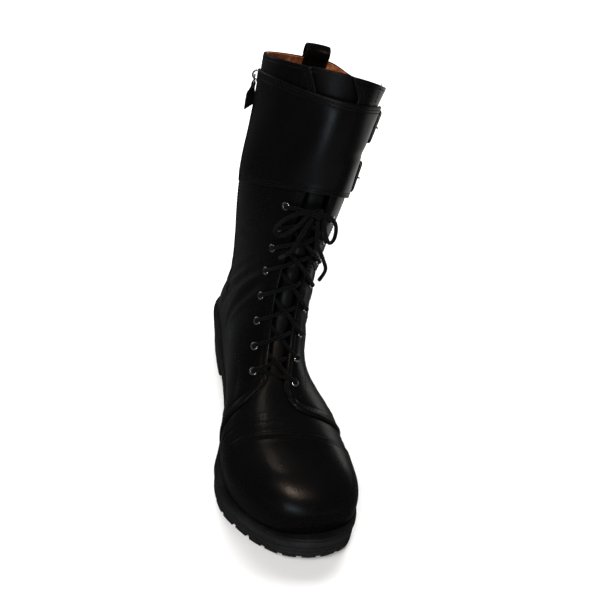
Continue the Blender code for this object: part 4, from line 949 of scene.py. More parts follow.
def build_quarters():
    rings = quarter_rings(200)
    from_flap, from_collar = (rings - rings[0]) * FLAP_MM, (rings[-1] - rings) * COLLAR_MM
    for side, name in ((1, "lateral"), (-1, "medial")):
        v, u, columns = quarter_grid(side, rings)
        height = STEP + edge_profile(from_flap, FLAP_SEAMS)
        height += edge_profile(from_collar, (COLLAR_SEAM,))
        height = np.repeat(height[:, None], len(columns), axis=1)
        wear = 0.5 * np.exp(-from_flap / 1.5) + 0.5 * np.exp(-from_collar / 1.5)
        wear = wear[:, None] + 0.25 * np.clip((np.abs(u) - 0.8) / 0.2, 0, 1) * (v < HEEL_RING)
        for j, (kind, amount) in enumerate(columns):
            if kind == "throat":
                height[:, j] += edge_profile(amount, THROAT_SEAMS)
                wear[:, j] += 0.5 * np.exp(-amount / 1.2)
            elif kind in ("slot_front", "slot_rear"):
                height[rings > ZIP_RING - 0.05, j] += edge_profile(amount)
        keep = np.ones((v.shape[0] - 1, v.shape[1] - 1), bool)
        for j, pair in enumerate(zip(columns, columns[1:])):
            if "slot" in (pair[0][0], pair[1][0]):
                keep[v[:-1, j] > ZIP_RING - 0.02, j] = False
        outer, inner = worn(v, u, height), worn(v, u, np.full(v.shape, -0.25))
        shape = closed_sheet(outer, inner, keep, wear)
        piece(f"quarter_{name}", shape, LEATHER, ["upper"])
        some = np.unique(np.append(np.arange(0, len(rings), 2), len(rings) - 1))
        v, u = v[some], u[some]
        v[-1] -= 0.018
        outer, inner = (worn(v, u, np.full(v.shape, h)) for h in (-0.35, -WALL))
        rim = keep[some[:-1]]
        front = np.arange(rim.shape[1]) < FACING_COLUMNS
        for part, look, chosen in (("facing", LEATHER, front), ("lining", LINING, ~front)):
            piece(f"{part}_{name}", closed_sheet(outer, inner, rim & chosen), look)
        sew_quarter(side)


def sew_quarter(side):
    face, flat_face = STEP - SEAM_SINK, STEP - FLAT_SINK
    low, rise, _ = QUARTER_LATERAL if side > 0 else QUARTER_MEDIAL
    v = np.linspace(low + (0.9 if side > 0 else 1.1), 21.85, 160)
    for inset in THROAT_SEAMS:
        edge = throat_u(v, side)
        sew(v, edge + side * u_step(v, edge, inset), face)
    rings = eyelet_rings(side)
    v = np.linspace(rings[0] - 0.62, 21.9, 160)
    outer = np.interp(v, rings, eyelet_side(rings)) + 9.0
    turn = np.clip((rings[0] - v) / 0.62, 0, 1) ** 2 * 5
    sew(v, side * u_at_side(v, outer - turn), flat_face)
    u = side * np.linspace(side * float(throat_u(low + rise, side)) + 0.012, 0.97, 120)
    for inset in FLAP_SEAMS:
        sew(quarter_line(u, side) + inset / FLAP_MM, u, face)
    u = side * np.linspace(0.13 if side > 0 else 0.11, 0.99, 110)
    sew(COLLAR_RING - slump(u) - COLLAR_SEAM / COLLAR_MM, u, face)
    v = np.linspace(HEEL_RING + 0.2, 21.3, 130)
    sew(v, side * (1 - u_step(v, side * 0.95, 2.2)), flat_face)
    if side < 0:
        v = np.linspace(ZIP_RING - 0.1, 21.85, 150)
        for sign in (1, -1):
            sew(v, ZIP_U + sign * u_step(v, ZIP_U, ZIP_HALF + ZIP_SEAM), face)
        v = np.full(111, ZIP_RING - 0.1)
        sew(v, ZIP_U + np.linspace(-1, 1, 111) * u_step(v, ZIP_U, ZIP_HALF + ZIP_SEAM), face)


# ---- tongue ----
def build_tongue():
    """It bulges out between the facings and is pressed in under them."""
    b = np.append(np.linspace(0, 1, 150)[:-1], 1 - np.array([0.004, 0.0015, 0.0]))
    a, b = np.meshgrid(np.linspace(0, 1, 41), b)

    def v_of(a, b):
        return 6.3 + (COLLAR_RING - 6.3) * b - 0.25 * b * (2 * a - 1) ** 4

    def u_of(a, v):
        middle = (throat_u(v, 1) + throat_u(v, -1)) / 2
        return middle + (2 * a - 1) * u_at_side(v, column(TONGUE_SIDES, v))

    v = v_of(a, b)
    u = u_of(a, v)
    side = np.abs(2 * a - 1) * column(TONGUE_SIDES, v)
    throat = np.interp(v, [row[0] for row in THROAT], [row[1] for row in THROAT])
    pressed = eased(side, throat * 0.55, throat + 1.5)
    laced = 1 - eased(v, 17.6, 18.6)
    top = -2.6 - 2.4 * pressed * laced - 0.3 * pressed
    quilt = 0.35 * np.cos(v * 2 * pi / 1.35) * laced * (1 - pressed)
    end = edge_profile((1 - b) * 380, (2.8,)) + edge_profile(a * 44) + edge_profile((1 - a) * 44)
    outer, inner = lifted(v, u, top + quilt + end), lifted(v, u, top - 2.2)
    shape = closed_sheet(outer, inner, wear=0.3 * eased(b, 0.97, 1.0))
    piece("tongue_leather", shape, TONGUE_LEATHER, ["tongue"])
    a = np.linspace(0.1, 0.9, 30)
    ring = v_of(a, 1) - 2.8 / COLLAR_MM
    u = u_of(a, ring)
    thread(lifted(ring, u, np.full(30, -3.0)), skin_frame(ring, u)[3])


# ---- eyelets and laces ----
def build_eyelets():
    profile = [
        (1.75, -0.9), (1.62, 0.0), (1.66, 0.5), (1.95, 0.82), (2.4, 0.92), (2.9, 0.80),
        (3.25, 0.48), (3.38, 0.12), (3.3, -0.1), (2.2, -0.4), (2.1, -0.9),
    ]
    parts, nodes = [], []
    for side, name in ((1, "lateral"), (-1, "medial")):
        for number, ring in enumerate(eyelet_rings(side)):
            u = eyelet_u(ring, side)
            place = frame_at(ring, u, STEP + float(relief(ring, u)))
            parts.append(turned_part(profile, place))
            nodes.append(f"eyelet_{name}_{number + 1}")
    piece("eyelets", gathered(parts), SILVER, nodes, sharp=60)


def lace_path(rows, step=0.12, pitch=0.9):
    """Points in mm from rows of (ring, mm from the middle line, height)."""
    v, side, height = smooth_path(rows, step).T
    return resampled(lifted(v, np.sign(side) * u_at_side(v, np.abs(side)), height), pitch)


def lace_bar(low, high, side, over):
    """A lace out of one eyelet, over the tongue and under the other facing to the next."""
    start, end = eyelet_side(low), eyelet_side(high)
    sign = 1.0 if over else -1.0
    rows = (
        (0.0, side * start, STEP - 0.9),
        (0.0, side * start, STEP + 1.1),
        (0.012, side * (start - 0.9), STEP + 2.3),
        (0.05, side * (start - 3.4), STEP + 1.9),
        (0.17, side * (start - 8.0), STEP + 1.5),
        (0.34, side * 4.5, 1.6 + 0.5 * sign),
        (0.50, 0.0, 1.4 + 1.5 * sign),
        (0.66, -side * 4.5, 0.6 + 0.5 * sign),
        (0.80, -side * 8.2, -1.4),
        (0.92, -side * (end - 4.0), -3.3),
        (1.0, -side * end, -3.5),
    )
    return lace_path([(low + (high - low) * share, *place) for share, *place in rows])


def build_laces():
    rings = {side: eyelet_rings(side) for side in (1, -1)}
    half = [
        (0, STEP - 1), (0, STEP + 1.1), (0.04, STEP + 2.2), (0.14, STEP + 1.7), (0.3, 2.2)
    ]
    bottom = half + [(0.5, 0.4)] + [(1 - t, h) for t, h in half[::-1]]
    low = {side: rings[side][0] for side in (1, -1)}
    rows = [(low[1] * (1 - t) + low[-1] * t, FIRST_SIDE * (1 - 2 * t), h) for t, h in bottom]
    paths = [lace_path(rows)]
    for k in range(EYELET_PAIRS - 1):
        for side in (1, -1):
            paths.append(lace_bar(rings[side][k], rings[-side][k + 1], side, side == (-1) ** k))
    for side in (1, -1):  # from the top pair to the knot
        ring = rings[side][-1]
        rows = (
            (ring, side * 17.3, STEP - 0.9),
            (ring, side * 17.3, STEP + 1.2),
            (ring + 0.02, side * 16.2, STEP + 2.5),
            (ring + 0.03, side * 12.0, 4.6),
            ((ring + KNOT[0]) / 2, side * 6.5, 6.4),
            (KNOT[0], side * 1.5, KNOT[1] - 1.2),
        )
        paths.append(lace_path(rows))
    shape = gathered([tube(path, LACE_RADIUS) for path in paths], braid=True)
    piece("laces", shape, LACE, ["lace_crossings"], sharp=70)


# ring, mm from the middle line and height of the loops' and the ends' points
LOOP_ROUTE = (
    (17.40, 4.2, 9.0), (17.2, 10.0, 10.0), (16.6, 15.0, 9.2), (15.9, 16.0, 9.0),
    (15.6, 12.5, 9.0), (16.0, 9.0, 9.0), (16.7, 6.2, 9.0), (17.25, 4.2, 9.0),
)
LACE_ROUTES = {
    "loop_lateral": LOOP_ROUTE,
    "loop_medial": tuple((ring, -side, height) for ring, side, height in LOOP_ROUTE),
    "end_lateral": (
        (17.05, 1.6, 8.9), (16.3, 3.2, 8.8), (15.2, 5.5, 8.8), (14.2, 12.0, 8.8),
        (13.2, 19.0, 8.6), (12.4, 25.0, 5.4),
    ),
    "end_medial": (
        (17.07, -1.7, 8.9), (16.3, -3.2, 8.8), (15.2, -4.5, 8.6), (14.2, -6.0, 8.6),
        (13.4, -9.0, 8.6),
    ),
}


def build_bow():
    """The bow's two loops and two ends as cords, and the knot that holds them."""
    place = frame_at(KNOT[0], 0.0, KNOT[1])
    radius = LACE_RADIUS * 0.95
    turn = circle(40)
    parts = []
    for tilt, offset, wide, high in ((0.5, 0.9, 3.0, 2.5), (-0.35, -0.9, 2.7, 2.3)):
        x = wide * np.cos(turn)
        local = np.stack([x, offset + x * tilt, high * np.sin(turn)], axis=1)
        parts.append(tube(placed_points(local, place), radius, closed=True))
    local = smooth_path([(-5.0, -0.6, 0.6), (-2.0, 0.6, 1.0), (2.0, -0.6, 1.0), (5.0, 0.6, 0.6)])
    parts.append(tube(placed_points(local, place), radius))
    piece("bow_knot", gathered(parts, braid=True), LACE, ["lace_knot"], sharp=70)
    for name, route in LACE_ROUTES.items():
        path = lace_path(route, 0.1, 1.0)
        shape = tube(path, LACE_RADIUS)
        made = piece(f"bow_{name}", shape, LACE, [f"lace_{name}"], sharp=70)
        if "end" in name:
            tip = unit(path[-1] - path[-2])
            sheath = np.array([path[-1] + tip * along for along in (-6.0, -3.0, 0.6)])
            points, faces, _ = tube(resampled(sheath, 0.8), LACE_RADIUS + 0.12)
            with_pieces = [piece(f"bow_{name}_tip", (points, faces, {}), WELT, sharp=60)]
        to_frame(path[0])[0]
        lengths(path)[-1] * MM
        to_frame(path).tolist()


# ---- cuff, straps and buckles ----
def patch_piece(kind, label, v_of, u_of, size_mm, low, thick, seams=(2.6,), pitch=1.6, wave=None):
    """A leather layer over the surface, with its cut edges rounded and its seams pressed in.
    size_mm is its width and height; v_of(a, b), u_of(a) and low(a) are functions of shares."""
    across, upward = (spaced(size, pitch, seams) for size in size_mm)
    x, y = np.meshgrid(across, upward)
    a, b = x / size_mm[0], y / size_mm[1]
    v, u = v_of(a, b), u_of(a)
    away = np.minimum(np.minimum(x, size_mm[0] - x), np.minimum(y, size_mm[1] - y))
    bend = wave(a, b) if wave else 0.0
    outer = lifted(v, u, low(a) + thick + edge_profile(away, seams) + bend)
    inner = lifted(v, u, low(a) + bend * 0.5)
    shape = closed_sheet(outer, inner, wear=0.7 * np.exp(-away / 1.3), under=0.3)
    piece(f"{kind}_leather{label}", shape, CUFF_LEATHER, [kind + label])


CUFF_MM = (168.0, 78.0)


def cuff_ring(a, b):
    top = CUFF_TOP - CUFF_FALL * eased(CUFF_START + (CUFF_END - CUFF_START) * a, -0.5, 0.05)
    return CUFF_LOW + (top - CUFF_LOW) * b


def cuff_u(a):
    return CUFF_START + (CUFF_END - CUFF_START) * a


def cuff_wave(a, b):
    """The slack leather's long soft waves."""
    edge = np.minimum(eased(b, 0, 0.12), 1)
    one = 0.5 * np.sin(2 * pi * (1.6 * a + 0.5 * b)) * (1 - 0.4 * b)
    two = 0.35 * np.sin(2 * pi * (3.1 * a - 0.9 * b) + 1.2)
    fold = -0.7 * np.exp(-(((b - 0.42 - 0.25 * (a - 0.5)) / 0.05) ** 2)) * eased(a, 0.5, 0.8)
    return (one + two) * edge + fold


def build_cuff():
    def low(a):
        return STEP + 2 * GAP + 0 * a

    patch_piece(
        "cuff", "", cuff_ring, cuff_u, CUFF_MM, low, STRAP_THICK, seams=CUFF_SEAMS, wave=cuff_wave
    )
    full = np.linspace(0.0, 1.0, 140)
    for inset in CUFF_SEAMS:
        da, db = inset / CUFF_MM[0], inset / CUFF_MM[1]
        along, up = da + full * (1 - 2 * da), db + full * (1 - 2 * db)
        rows = ((along, db), (along, 1 - db), (da, up), (1 - da, up))
        for a, b in rows:
            a, b = a + 0 * full, b + 0 * full
            v, u = cuff_ring(a, b), cuff_u(a)
            place = lifted(v, u, low(a) + STRAP_THICK + cuff_wave(a, b) - 0.13)
            thread(place, skin_frame(v, u)[3])


def strap_half(ring):
    rise = np.linalg.norm(skin(ring + 0.1, 0.5) - skin(ring - 0.1, 0.5)) / 0.2
    return STRAP_WIDTH / 2 / rise


def strap_height(u):
    """Underside of a strap: level with the cuff, then up over the buckle's hinge bar."""
    base = STEP + 2 * GAP
    over = HINGE_HEIGHT + BUCKLE_ROD + 2.5 * GAP
    rise = np.exp(-(((u - BUCKLE_HINGE) / 0.028) ** 2))
    after = 1.6 * np.clip((u - BUCKLE_HINGE) / 0.03, 0, 1)
    return np.maximum(base + after, base + (over - base) * rise)


def build_straps():
    start = CUFF_END + 0.001
    for name, ring in STRAP_ROWS.items():
        half = strap_half(ring)

        def v_of(a, b, half=half, ring=ring):
            point = 1 - np.clip((a - 0.86) / 0.14, 0, 1) ** 2 * 0.62
            return ring + half * (2 * b - 1) * point

        def u_of(a):
            return start + (STRAP_END - start) * a

        def low(a):
            return strap_height(u_of(a))

        size = ((STRAP_END - start) * 200.0, STRAP_WIDTH)
        patch_piece("strap", f"_{name}", v_of, u_of, size, low, STRAP_THICK, pitch=1.1)
        for b in (0.12, 0.88):
            a = np.linspace(0.03, 0.93, 60)
            v, u = v_of(a, b), u_of(a)
            place = lifted(v, u, low(a) + STRAP_THICK - SEAM_SINK)
            thread(place, skin_frame(v, u)[3], length=2.0, radius=0.25)
        rim = [(0.7, -0.3), (0.85, 0.12), (1.3, 0.26), (1.75, 0.12), (1.85, -0.3)]
        holes = []
        for u in (BUCKLE_HOLE, BUCKLE_HINGE + 0.05, BUCKLE_HINGE + 0.085):
            place = frame_at(ring, u, float(strap_height(u)) + STRAP_THICK)
            holes.append(turned_part(rim, place, 20))
        piece(f"strap_eyelets_{name}", gathered(holes), GUNMETAL, sharp=60)
        build_chape(name, ring)
        build_buckle(name, ring)


def build_chape(name, ring):
    half = strap_half(ring) * 0.8
    start = BUCKLE_HINGE + (BUCKLE_ROD + GAP) / 190
    patch_piece(
        "chape", f"_{name}", lambda a, b: ring + half * (2 * b - 1), lambda a: start + 0.055 * a,
        (11.0, STRAP_WIDTH * 0.8), lambda a: STEP + GAP + 0 * a, 1.5, seams=(2.3,), pitch=1.0,
    )


def rounded_loop(corners, radius, steps=6):
    """A closed path through the corners with each corner rounded."""
    corners = np.asarray(corners, float)
    path = []
    for k, corner in enumerate(corners):
        before = corners[k - 1] - corner
        after = corners[(k + 1) % len(corners)] - corner
        before = corner + before / np.linalg.norm(before) * radius
        after = corner + after / np.linalg.norm(after) * radius
        for t in np.linspace(0, 1, steps):
            path.append(before * (1 - t) ** 2 + 2 * corner * t * (1 - t) + after * t * t)
    return np.array(path)


def build_buckle(name, ring):
    half = strap_half(ring) * (STRAP_WIDTH + 2 * BUCKLE_ROD + 1.8) / STRAP_WIDTH
    far_height = STEP + 2 * GAP + STRAP_THICK + GAP + BUCKLE_ROD
    far, near = (BUCKLE_FAR, far_height), (BUCKLE_HINGE, HINGE_HEIGHT)
    corners = [
        lifted(ring + side * half, *place)
        for side, place in ((-1, far), (1, far), (1, near), (-1, near))
    ]
    tip, seat = far_height + 2 * BUCKLE_ROD + 0.2, float(strap_height(BUCKLE_HOLE))
    prong = (
        near,
        (BUCKLE_HOLE + 0.004, HINGE_HEIGHT + 0.8),
        (BUCKLE_HOLE, seat + 1.2),
        (BUCKLE_HOLE - 0.012, seat + STRAP_THICK + 1.6),
        (BUCKLE_FAR + 0.02, tip),
        (BUCKLE_FAR - 0.008, tip - 0.5),
    )
    prong = smooth_path([lifted(ring, *place) for place in prong], 0.2)
    wrap = np.array([lifted(ring + t * 0.06, *near) for t in (-1, 0, 1)])
    parts = [
        tube(rounded_loop(corners, 2.6), BUCKLE_ROD, 14, closed=True),
        tube(prong, np.linspace(0.95, 0.6, len(prong)), 10),
        tube(wrap, BUCKLE_ROD + 0.5, 14),
    ]
    shape = gathered(parts)
    piece(f"buckle_frame_{name}", shape, GUNMETAL, [f"buckle_{name}"], sharp=60)


# ---- zip ----
TOOTH_PITCH, TEETH_TOP = 1.35, 1.0


def build_zip():
    """Two woven tapes behind the slot and the metal teeth along them."""
    a, b = np.meshgrid(np.linspace(0, 1, 9), np.linspace(0, 1, 130))
    v = ZIP_RING - 0.1 + (COLLAR_RING - 0.1 - ZIP_RING) * b
    near = u_step(v, ZIP_U, 0.35 + 1.5 * eased(v, SLIDER_RING + 0.05, COLLAR_RING))
    across = near + (u_step(v, ZIP_U, 9.0) - near) * a
    hollow = -0.55 - 1.6 * eased(a, 0.35, 0.75)
    for sign, name in ((1, "front"), (-1, "rear")):
        outer, inner = (lifted(v, ZIP_U + sign * across, hollow - d) for d in (0, 0.55))
        piece(f"zip_tape_{name}", closed_sheet(outer, inner), TAPE, ["zip_tape"])
    v = np.linspace(ZIP_RING + 0.05, COLLAR_RING - 0.14, 400)
    length = lengths(skin(v, np.full(len(v), ZIP_U)))
    rings = np.interp(np.arange(0, length[-1], TOOTH_PITCH), length, v)
    outline = [(-1.9, 0.62), (0.9, 0.62), (1.5, 0.35), (1.5, -0.35), (0.9, -0.62), (-1.9, -0.62)]
    layers = ((1, 1, -0.6), (1, 1, TEETH_TOP - 0.3), (0.9, 0.72, TEETH_TOP))
    teeth = []
    for number, ring in enumerate(rings):
        side = 1 if number % 2 else -1  # each tooth's head points to the other tape
        apart = 1.6 * float(eased(ring, SLIDER_RING + 0.05, COLLAR_RING))
        u = ZIP_U + side * float(u_step(ring, ZIP_U, 0.95 + apart))
        local = [(-x * side * wide, y * high, h) for wide, high, h in layers for x, y in outline]
        teeth.append((placed_points(local, frame_at(ring, u)), loft_faces(3, 6)))
    piece("zip_chain", gathered(teeth), SILVER, ["zip_teeth"], sharp=25)


def extruded(outline, low, high, bevel, place):
    """A plate with the outline's shape and bevelled rims."""
    middle = outline.mean(axis=0)
    small = middle + (outline - middle) * (1 - bevel / np.abs(outline - middle).max())
    layers = [(small, low), (outline, low + bevel), (outline, high - bevel), (small, high)]
    local = [np.hstack([shape, np.full((len(shape), 1), h)]) for shape, h in layers]
    return placed_points(np.concatenate(local), place), loft_faces(4, len(outline))


def build_slider():
    place = frame_at(SLIDER_RING, ZIP_U)
    turn = circle(40)
    wide = 3.0 + 0.75 * np.sin(turn) + 0.25 * np.cos(2 * turn)
    outline = np.stack([wide * np.cos(turn) * 1.08, 5.0 * np.sin(turn)], axis=1)
    base = TEETH_TOP + GAP
    parts = [extruded(outline, base, base + 1.9, 0.5, place)]
    bridge = [(0, 3.4, 2.6), (0, 3.0, 4.6), (0, 1.6, 6.0), (0, 0, 6.4)]
    bridge += [(0, -y, h) for _, y, h in bridge[-2::-1]]
    rods = [(bridge, 0.75, 12)]
    for side in (-1, 1):
        rail = [(side * 3.1, 3.6, 2.2), (side * 2.9, 0.0, 2.5), (side * 2.1, -3.8, 2.2)]
        rods.append((rail, 0.55, 10))
    for rows, radius, sides in rods:
        parts.append(tube(placed_points(smooth_path(rows, 0.2), place), radius, sides))
    piece("zip_slider_metal", gathered(parts), SILVER, ["zip_slider"], sharp=50)


# the tab's sections: place along it, half width, half thickness, turn in degrees, lift, slant
TAB_ROWS = (
    (1.9, 1.3, 1.0, 0.0, 0.0, 0.0),
    (0.0, 1.4, 1.7, 0.0, 0.0, 0.0),
    (-2.6, 1.9, 1.4, 15.0, 0.2, 0.0),
    (-5.5, 2.9, 0.9, 45.0, 0.6, 0.0),
    (-8.5, 3.4, 0.8, 60.0, 1.0, 0.0),
    (-15.0, 3.5, 0.8, 62.0, 1.0, -1.5),
    (-17.5, 3.4, 0.7, 62.0, 1.0, -2.5),
)


def build_pull():
    """The slider's metal link and the leather tab folded round it."""
    place = frame_at(SLIDER_RING, ZIP_U, PULL_AXIS)
    half = LINK_HALF
    corners = [(-half, 0, 0), (half, 0, 0), (half, -LINK_LENGTH, 0), (-half, -LINK_LENGTH, 0)]
    loop = placed_points(rounded_loop(corners, 1.1), place)
    points, faces, _ = tube(loop, LINK_ROD, 12, closed=True)
    shape = (points, faces, {})
    piece("pull_link", shape, SILVER, ["zip_pull_link"], PULL, sharp=60)
    turn = circle(28)
    power = 0.35  # a flat strip with rounded long edges
    s, h = (np.sign(wave) * np.abs(wave) ** power for wave in (np.cos(turn), np.sin(turn)))
    grid = []
    for along, wide, thick, angle, out, slant in smooth_path(TAB_ROWS, 0.125):
        a = radians(angle)
        x = s * wide * cos(a) - h * thick * sin(a)
        z = s * wide * sin(a) + h * thick * cos(a) + out
        grid.append(np.stack([x, along - LINK_LENGTH + s * slant, z], axis=1))
    points = placed_points(np.concatenate(grid), place)
    shape = (points, loft_faces(len(grid), len(turn)), {"wear": np.full(len(points), 0.25)})
    piece("pull_tab", shape, CUFF_LEATHER, ["zip_pull_tab"], PULL, sharp=50)


LOOP_WIDTH, LOOP_THICK, LOOP_BEND = 19.5, 1.4, 36.0


def build_pull_loop():
    """The leather loop at the back of the collar: outside, over the edge and down inside."""
    point, _, up, normal = skin_frame(COLLAR_RING, 1.0)
    across = np.cross(up, normal)
    outside, inside = STEP + GAP, -WALL - 3 * GAP
    route = [(outside, -18), (outside, -9), (outside, 0.5), (3.0, 3.0), (3.6, 6.5), (2.4, 9.4)]
    route += [(-0.6, 10.8), (-3.9, 9.4), (-5.2, 6.5), (-4.6, 3.0), (inside, 0.0), (inside, -13)]
    route = resampled(smooth_path(route, 0.1), 0.6)
    ahead = unit(np.gradient(route, axis=0))
    out = np.stack([ahead[:, 1], -ahead[:, 0]], axis=1)
    x = spaced(LOOP_WIDTH, 0.9, (LOOP_SEAM,)) - LOOP_WIDTH / 2
    away = LOOP_WIDTH / 2 - np.abs(x)
    grids = []
    for thick in (LOOP_THICK + edge_profile(away, (LOOP_SEAM,)), 0 * x):
        n = route[:, :1] + out[:, :1] * thick - x * x / (2 * LOOP_BEND)
        y = route[:, 1:] + out[:, 1:] * thick
        grids.append(point + n[..., None] * normal + y[..., None] * up + across * x[:, None])
    wear = np.repeat(0.6 * np.exp(-away / 1.0)[None], len(route), axis=0)
    shape = closed_sheet(*grids, wear=wear)
    piece("pull_loop_leather", shape, CUFF_LEATHER, ["pull_loop"])
    outward = out[:, :1] * normal + out[:, 1:] * up
    rows = []
    for side in (LOOP_SEAM, LOOP_WIDTH - LOOP_SEAM):
        k = int(np.argmin(np.abs(x + LOOP_WIDTH / 2 - side)))
        rows.append((grids[0][:, k], outward))
    for down in (4, 8):
        k = int(np.argmin(np.abs(route[:, 1] + 18 - down)))
        line = grids[0][k, 4:-4]
        rows.append((line, np.broadcast_to(normal, line.shape)))
    for line, normals in rows:
        thread(line - normals * 0.1, normals, 2.8, 2.0, 0.24)


# ---- sole ----
def outline_point(t, side, inset):
    odd = np.array([1, 1, -1])
    step = 0.01

    def at(rows):
        mirrored = np.where((rows < 0) | (rows > TOE_ROW), -1, 1)
        inside = np.where(rows < 0, -rows, np.where(rows > TOE_ROW, 2 * TOE_ROW - rows, rows))
        f, x, half = np.moveaxis(through(OUTLINE, inside, odd, odd), -1, 0)
        return np.stack([x + side * mirrored * half, f], axis=-1)

    t = np.asarray(t, float)
    along = unit(at(t + step) - at(t - step))
    outward = side * np.stack([along[..., 1], -along[..., 0]], axis=-1)
    return at(t) - outward * inset


SEAT_EDGE = skin(np.linspace(HEEL_RING - 0.01, 0.0, 300), 1.0)


def seat_height(f):
    toe_f, toe_z = SEAT_EDGE[-1, 1], SEAT_EDGE[-1, 2]
    slope = (toe_z - SEAT_EDGE[-25, 2]) / (toe_f - SEAT_EDGE[-25, 1])
    beyond = np.maximum(np.asarray(f, float) - toe_f, 0) * slope
    return np.interp(f, SEAT_EDGE[:, 1], SEAT_EDGE[:, 2]) + beyond - SEAT_GAP


def underside(f):
    return column(UNDERSIDE, f)


def level(top, bottom, share):
    return lambda f: top(f) * (1 - share) + bottom(f) * share


def sole_loft(last, profile):
    """A solid along the outline's rows up to the last; profile rows are (inset, height of f)."""
    rows = fine_rows(last)
    sections = []
    for side in (1, -1):
        part = []
        for inward, height in profile[::side]:
            place = outline_point(rows, side, inward)
            part.append(np.column_stack([place, height(place[:, 1])]))
        sections.append(np.stack(part, axis=1))
    sections = np.concatenate(sections, axis=1)
    faces = loft_faces(*sections.shape[:2])
    faces.pop(-2)  # the heel's end is a line, and so is the toe's
    if last >= TOE_ROW:
        faces.pop()
    return sections.reshape(-1, 3), faces, {}


def fine_rows(last, step=0.12):
    """Outline rows, closer together where the ends curve tightly."""
    tight = np.array([0.02, 0.05, 0.08, 0.16, 0.2])
    rows = np.concatenate([np.arange(0, last + 1e-9, step), tight, [last]])
    if last >= TOE_ROW:
        rows = np.append(rows, TOE_ROW - tight)
    return np.unique(np.round(rows, 4))


def build_welt():
    rows = (
        (7.0, -0.05), (2.1, 0), (1.2, 0), (0.55, 0.25), (0.15, 0.8), (0.0, 1.5), (0.15, 2.2),
        (0.75, 2.8), (1.3, 3.2), (1.3, MIDSOLE),
    )
    profile = [(inset, lambda f, down=down: seat_height(f) - down) for inset, down in rows]
    piece("welt", sole_loft(TOE_ROW, profile), WELT, ["midsole"])
    for side in (1, -1):
        place = outline_point(np.linspace(0.15, TOE_ROW - 0.12, 500), side, 1.75)
        points = np.column_stack([place, seat_height(place[:, 1]) + 0.02])
        thread(points, np.broadcast_to([0.0, 0.0, 1.0], points.shape), 3.8, 2.9, 0.3)


def tread_blocks(first, last, ground, middles):
    """Boxes to cut from the tread, across its edge and at its middle, as points and faces."""
    boxes, fine = [], np.linspace(first, last, 200)
    for side in (1, -1):
        length = lengths(outline_point(fine, side, 0.0))
        count = int(round(length[-1] / LUG_PITCH))
        for k in range(0 if side > 0 else 1, count + 1 if side > 0 else count):
            t = float(np.interp(length[-1] * k / count, length, fine))
            at, inner = (outline_point(t, side, inset) for inset in (5.5, 9.5))
            boxes.append((*at, atan2(at[1] - inner[1], at[0] - inner[0]), 15.0, LUG_GROOVE))
    boxes += [(float(axis_x(f)), f, 0.0, 22.0, LUG_GROOVE - 1) for f in middles]
    parts = []
    for x, f, turn, wide, long in boxes:
        points = []
        for dz, narrow in ((-6.0, 1.15), (LUG_DEPTH, 0.75)):
            for dx, df in ((-1, -1), (1, -1), (1, 1), (-1, 1)):
                across, along = dx * wide / 2, df * long / 2 * narrow
                px = x + across * cos(turn) - along * sin(turn)
                pf = f + across * sin(turn) + along * cos(turn)
                points.append((px, pf, float(ground(f)) + dz))
        parts.append((points, loft_faces(2, 4)))
    return gathered(parts)


def cut_tread(obj, blocks):
    """Cuts the tread's grooves and leaves the finished mesh."""
    mesh = raw_mesh("tread", *blocks[:2])
    turned_out(mesh)
    cutter = bpy.data.objects.new("tread", mesh)
    bpy.context.collection.objects.link(cutter)
    cut = obj.modifiers.new("tread", "BOOLEAN")
    cut.object, cut.solver = cutter, "EXACT"
    bpy.context.view_layer.update()
    done = bpy.data.meshes.new_from_object(obj.evaluated_get(bpy.context.evaluated_depsgraph_get()))
    obj.modifiers.clear()
    obj.data = done
    done.shade_smooth()
    done.set_sharp_from_angle(angle=radians(30))
    bpy.data.objects.remove(cutter)


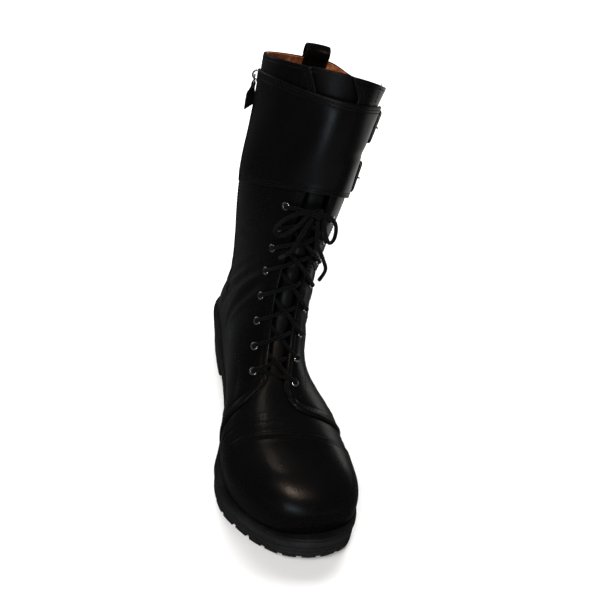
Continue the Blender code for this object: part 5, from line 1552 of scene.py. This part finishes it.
def build_soles():
    def sole_top(f):
        return seat_height(f) - MIDSOLE - GAP

    def heel_top(f):
        return np.full(np.shape(f), HEEL_HEIGHT - GAP)

    def ground(f):
        return np.zeros(np.shape(f))

    sole = [(1.6, 0), (1.0, 0.05), (0.7, 0.10)]
    for share in (0.30, 0.52, 0.72):  # grooves run round the side
        sole += [(0.8, share), (1.5, share + 0.02), (1.5, share + 0.05), (0.8, share + 0.07)]
    sole += [(1.2, 0.92), (2.2, 1)]
    heel = [(1.6, 0), (1.8, 0.28), (2.5, 0.31), (2.5, 0.35), (2.0, 0.38), (2.8, 0.95), (4.0, 1)]
    for name, node, top, bottom, rows, last, cuts in (
        ("outsole_rubber", "outsole", sole_top, underside, sole, TOE_ROW, (7.9, TOE_ROW)),
        ("heel_rubber", "heel", heel_top, ground, heel, HEEL_ROWS, (0.0, HEEL_ROWS - 0.3)),
    ):
        profile = [(inset, level(top, bottom, share)) for inset, share in rows]
        made = piece(name, sole_loft(last, profile), RUBBER, [node])
        middles = SOLE_GROOVES if node == "outsole" else HEEL_GROOVES
        cut_tread(made, tread_blocks(*cuts, bottom, middles))


def build_insole():
    """The sock on its board, dished a little."""
    rings = np.concatenate([np.linspace(0.3, 5, 40), np.linspace(5.1, 13.5, 70)])
    shares = np.linspace(-1, 1, 33)
    outer, inner = [], []
    for ring in rings:
        lateral, medial = (lifted(ring, side, -WALL - 4 * GAP) for side in (1.0, -1.0))
        place = medial + (lateral - medial) * (shares[:, None] + 1) / 2
        base = seat_height(place[:, 1]) + GAP
        crown = 0.8 * np.abs(shares) ** 3 - 0.4 * (1 - shares**2)
        outer.append(np.column_stack([place[:, :2], base + INSOLE + crown * min(1, ring)]))
        inner.append(np.column_stack([place[:, :2], base]))
    shape = closed_sheet(np.array(outer), np.array(inner))
    piece("insole_sock", shape, LINING, ["insole"])


def main():
    build_camera()
    build_bow()
    build_stage()
    for light in LIGHTS:
        area_light(*light)
    for build in (
        build_vamp, build_quarters, build_tongue, build_eyelets, build_laces, build_cuff,
        build_straps, build_zip, build_slider, build_pull, build_pull_loop, build_welt,
        build_soles, build_insole, build_stitches,
    ):
        build()


main()
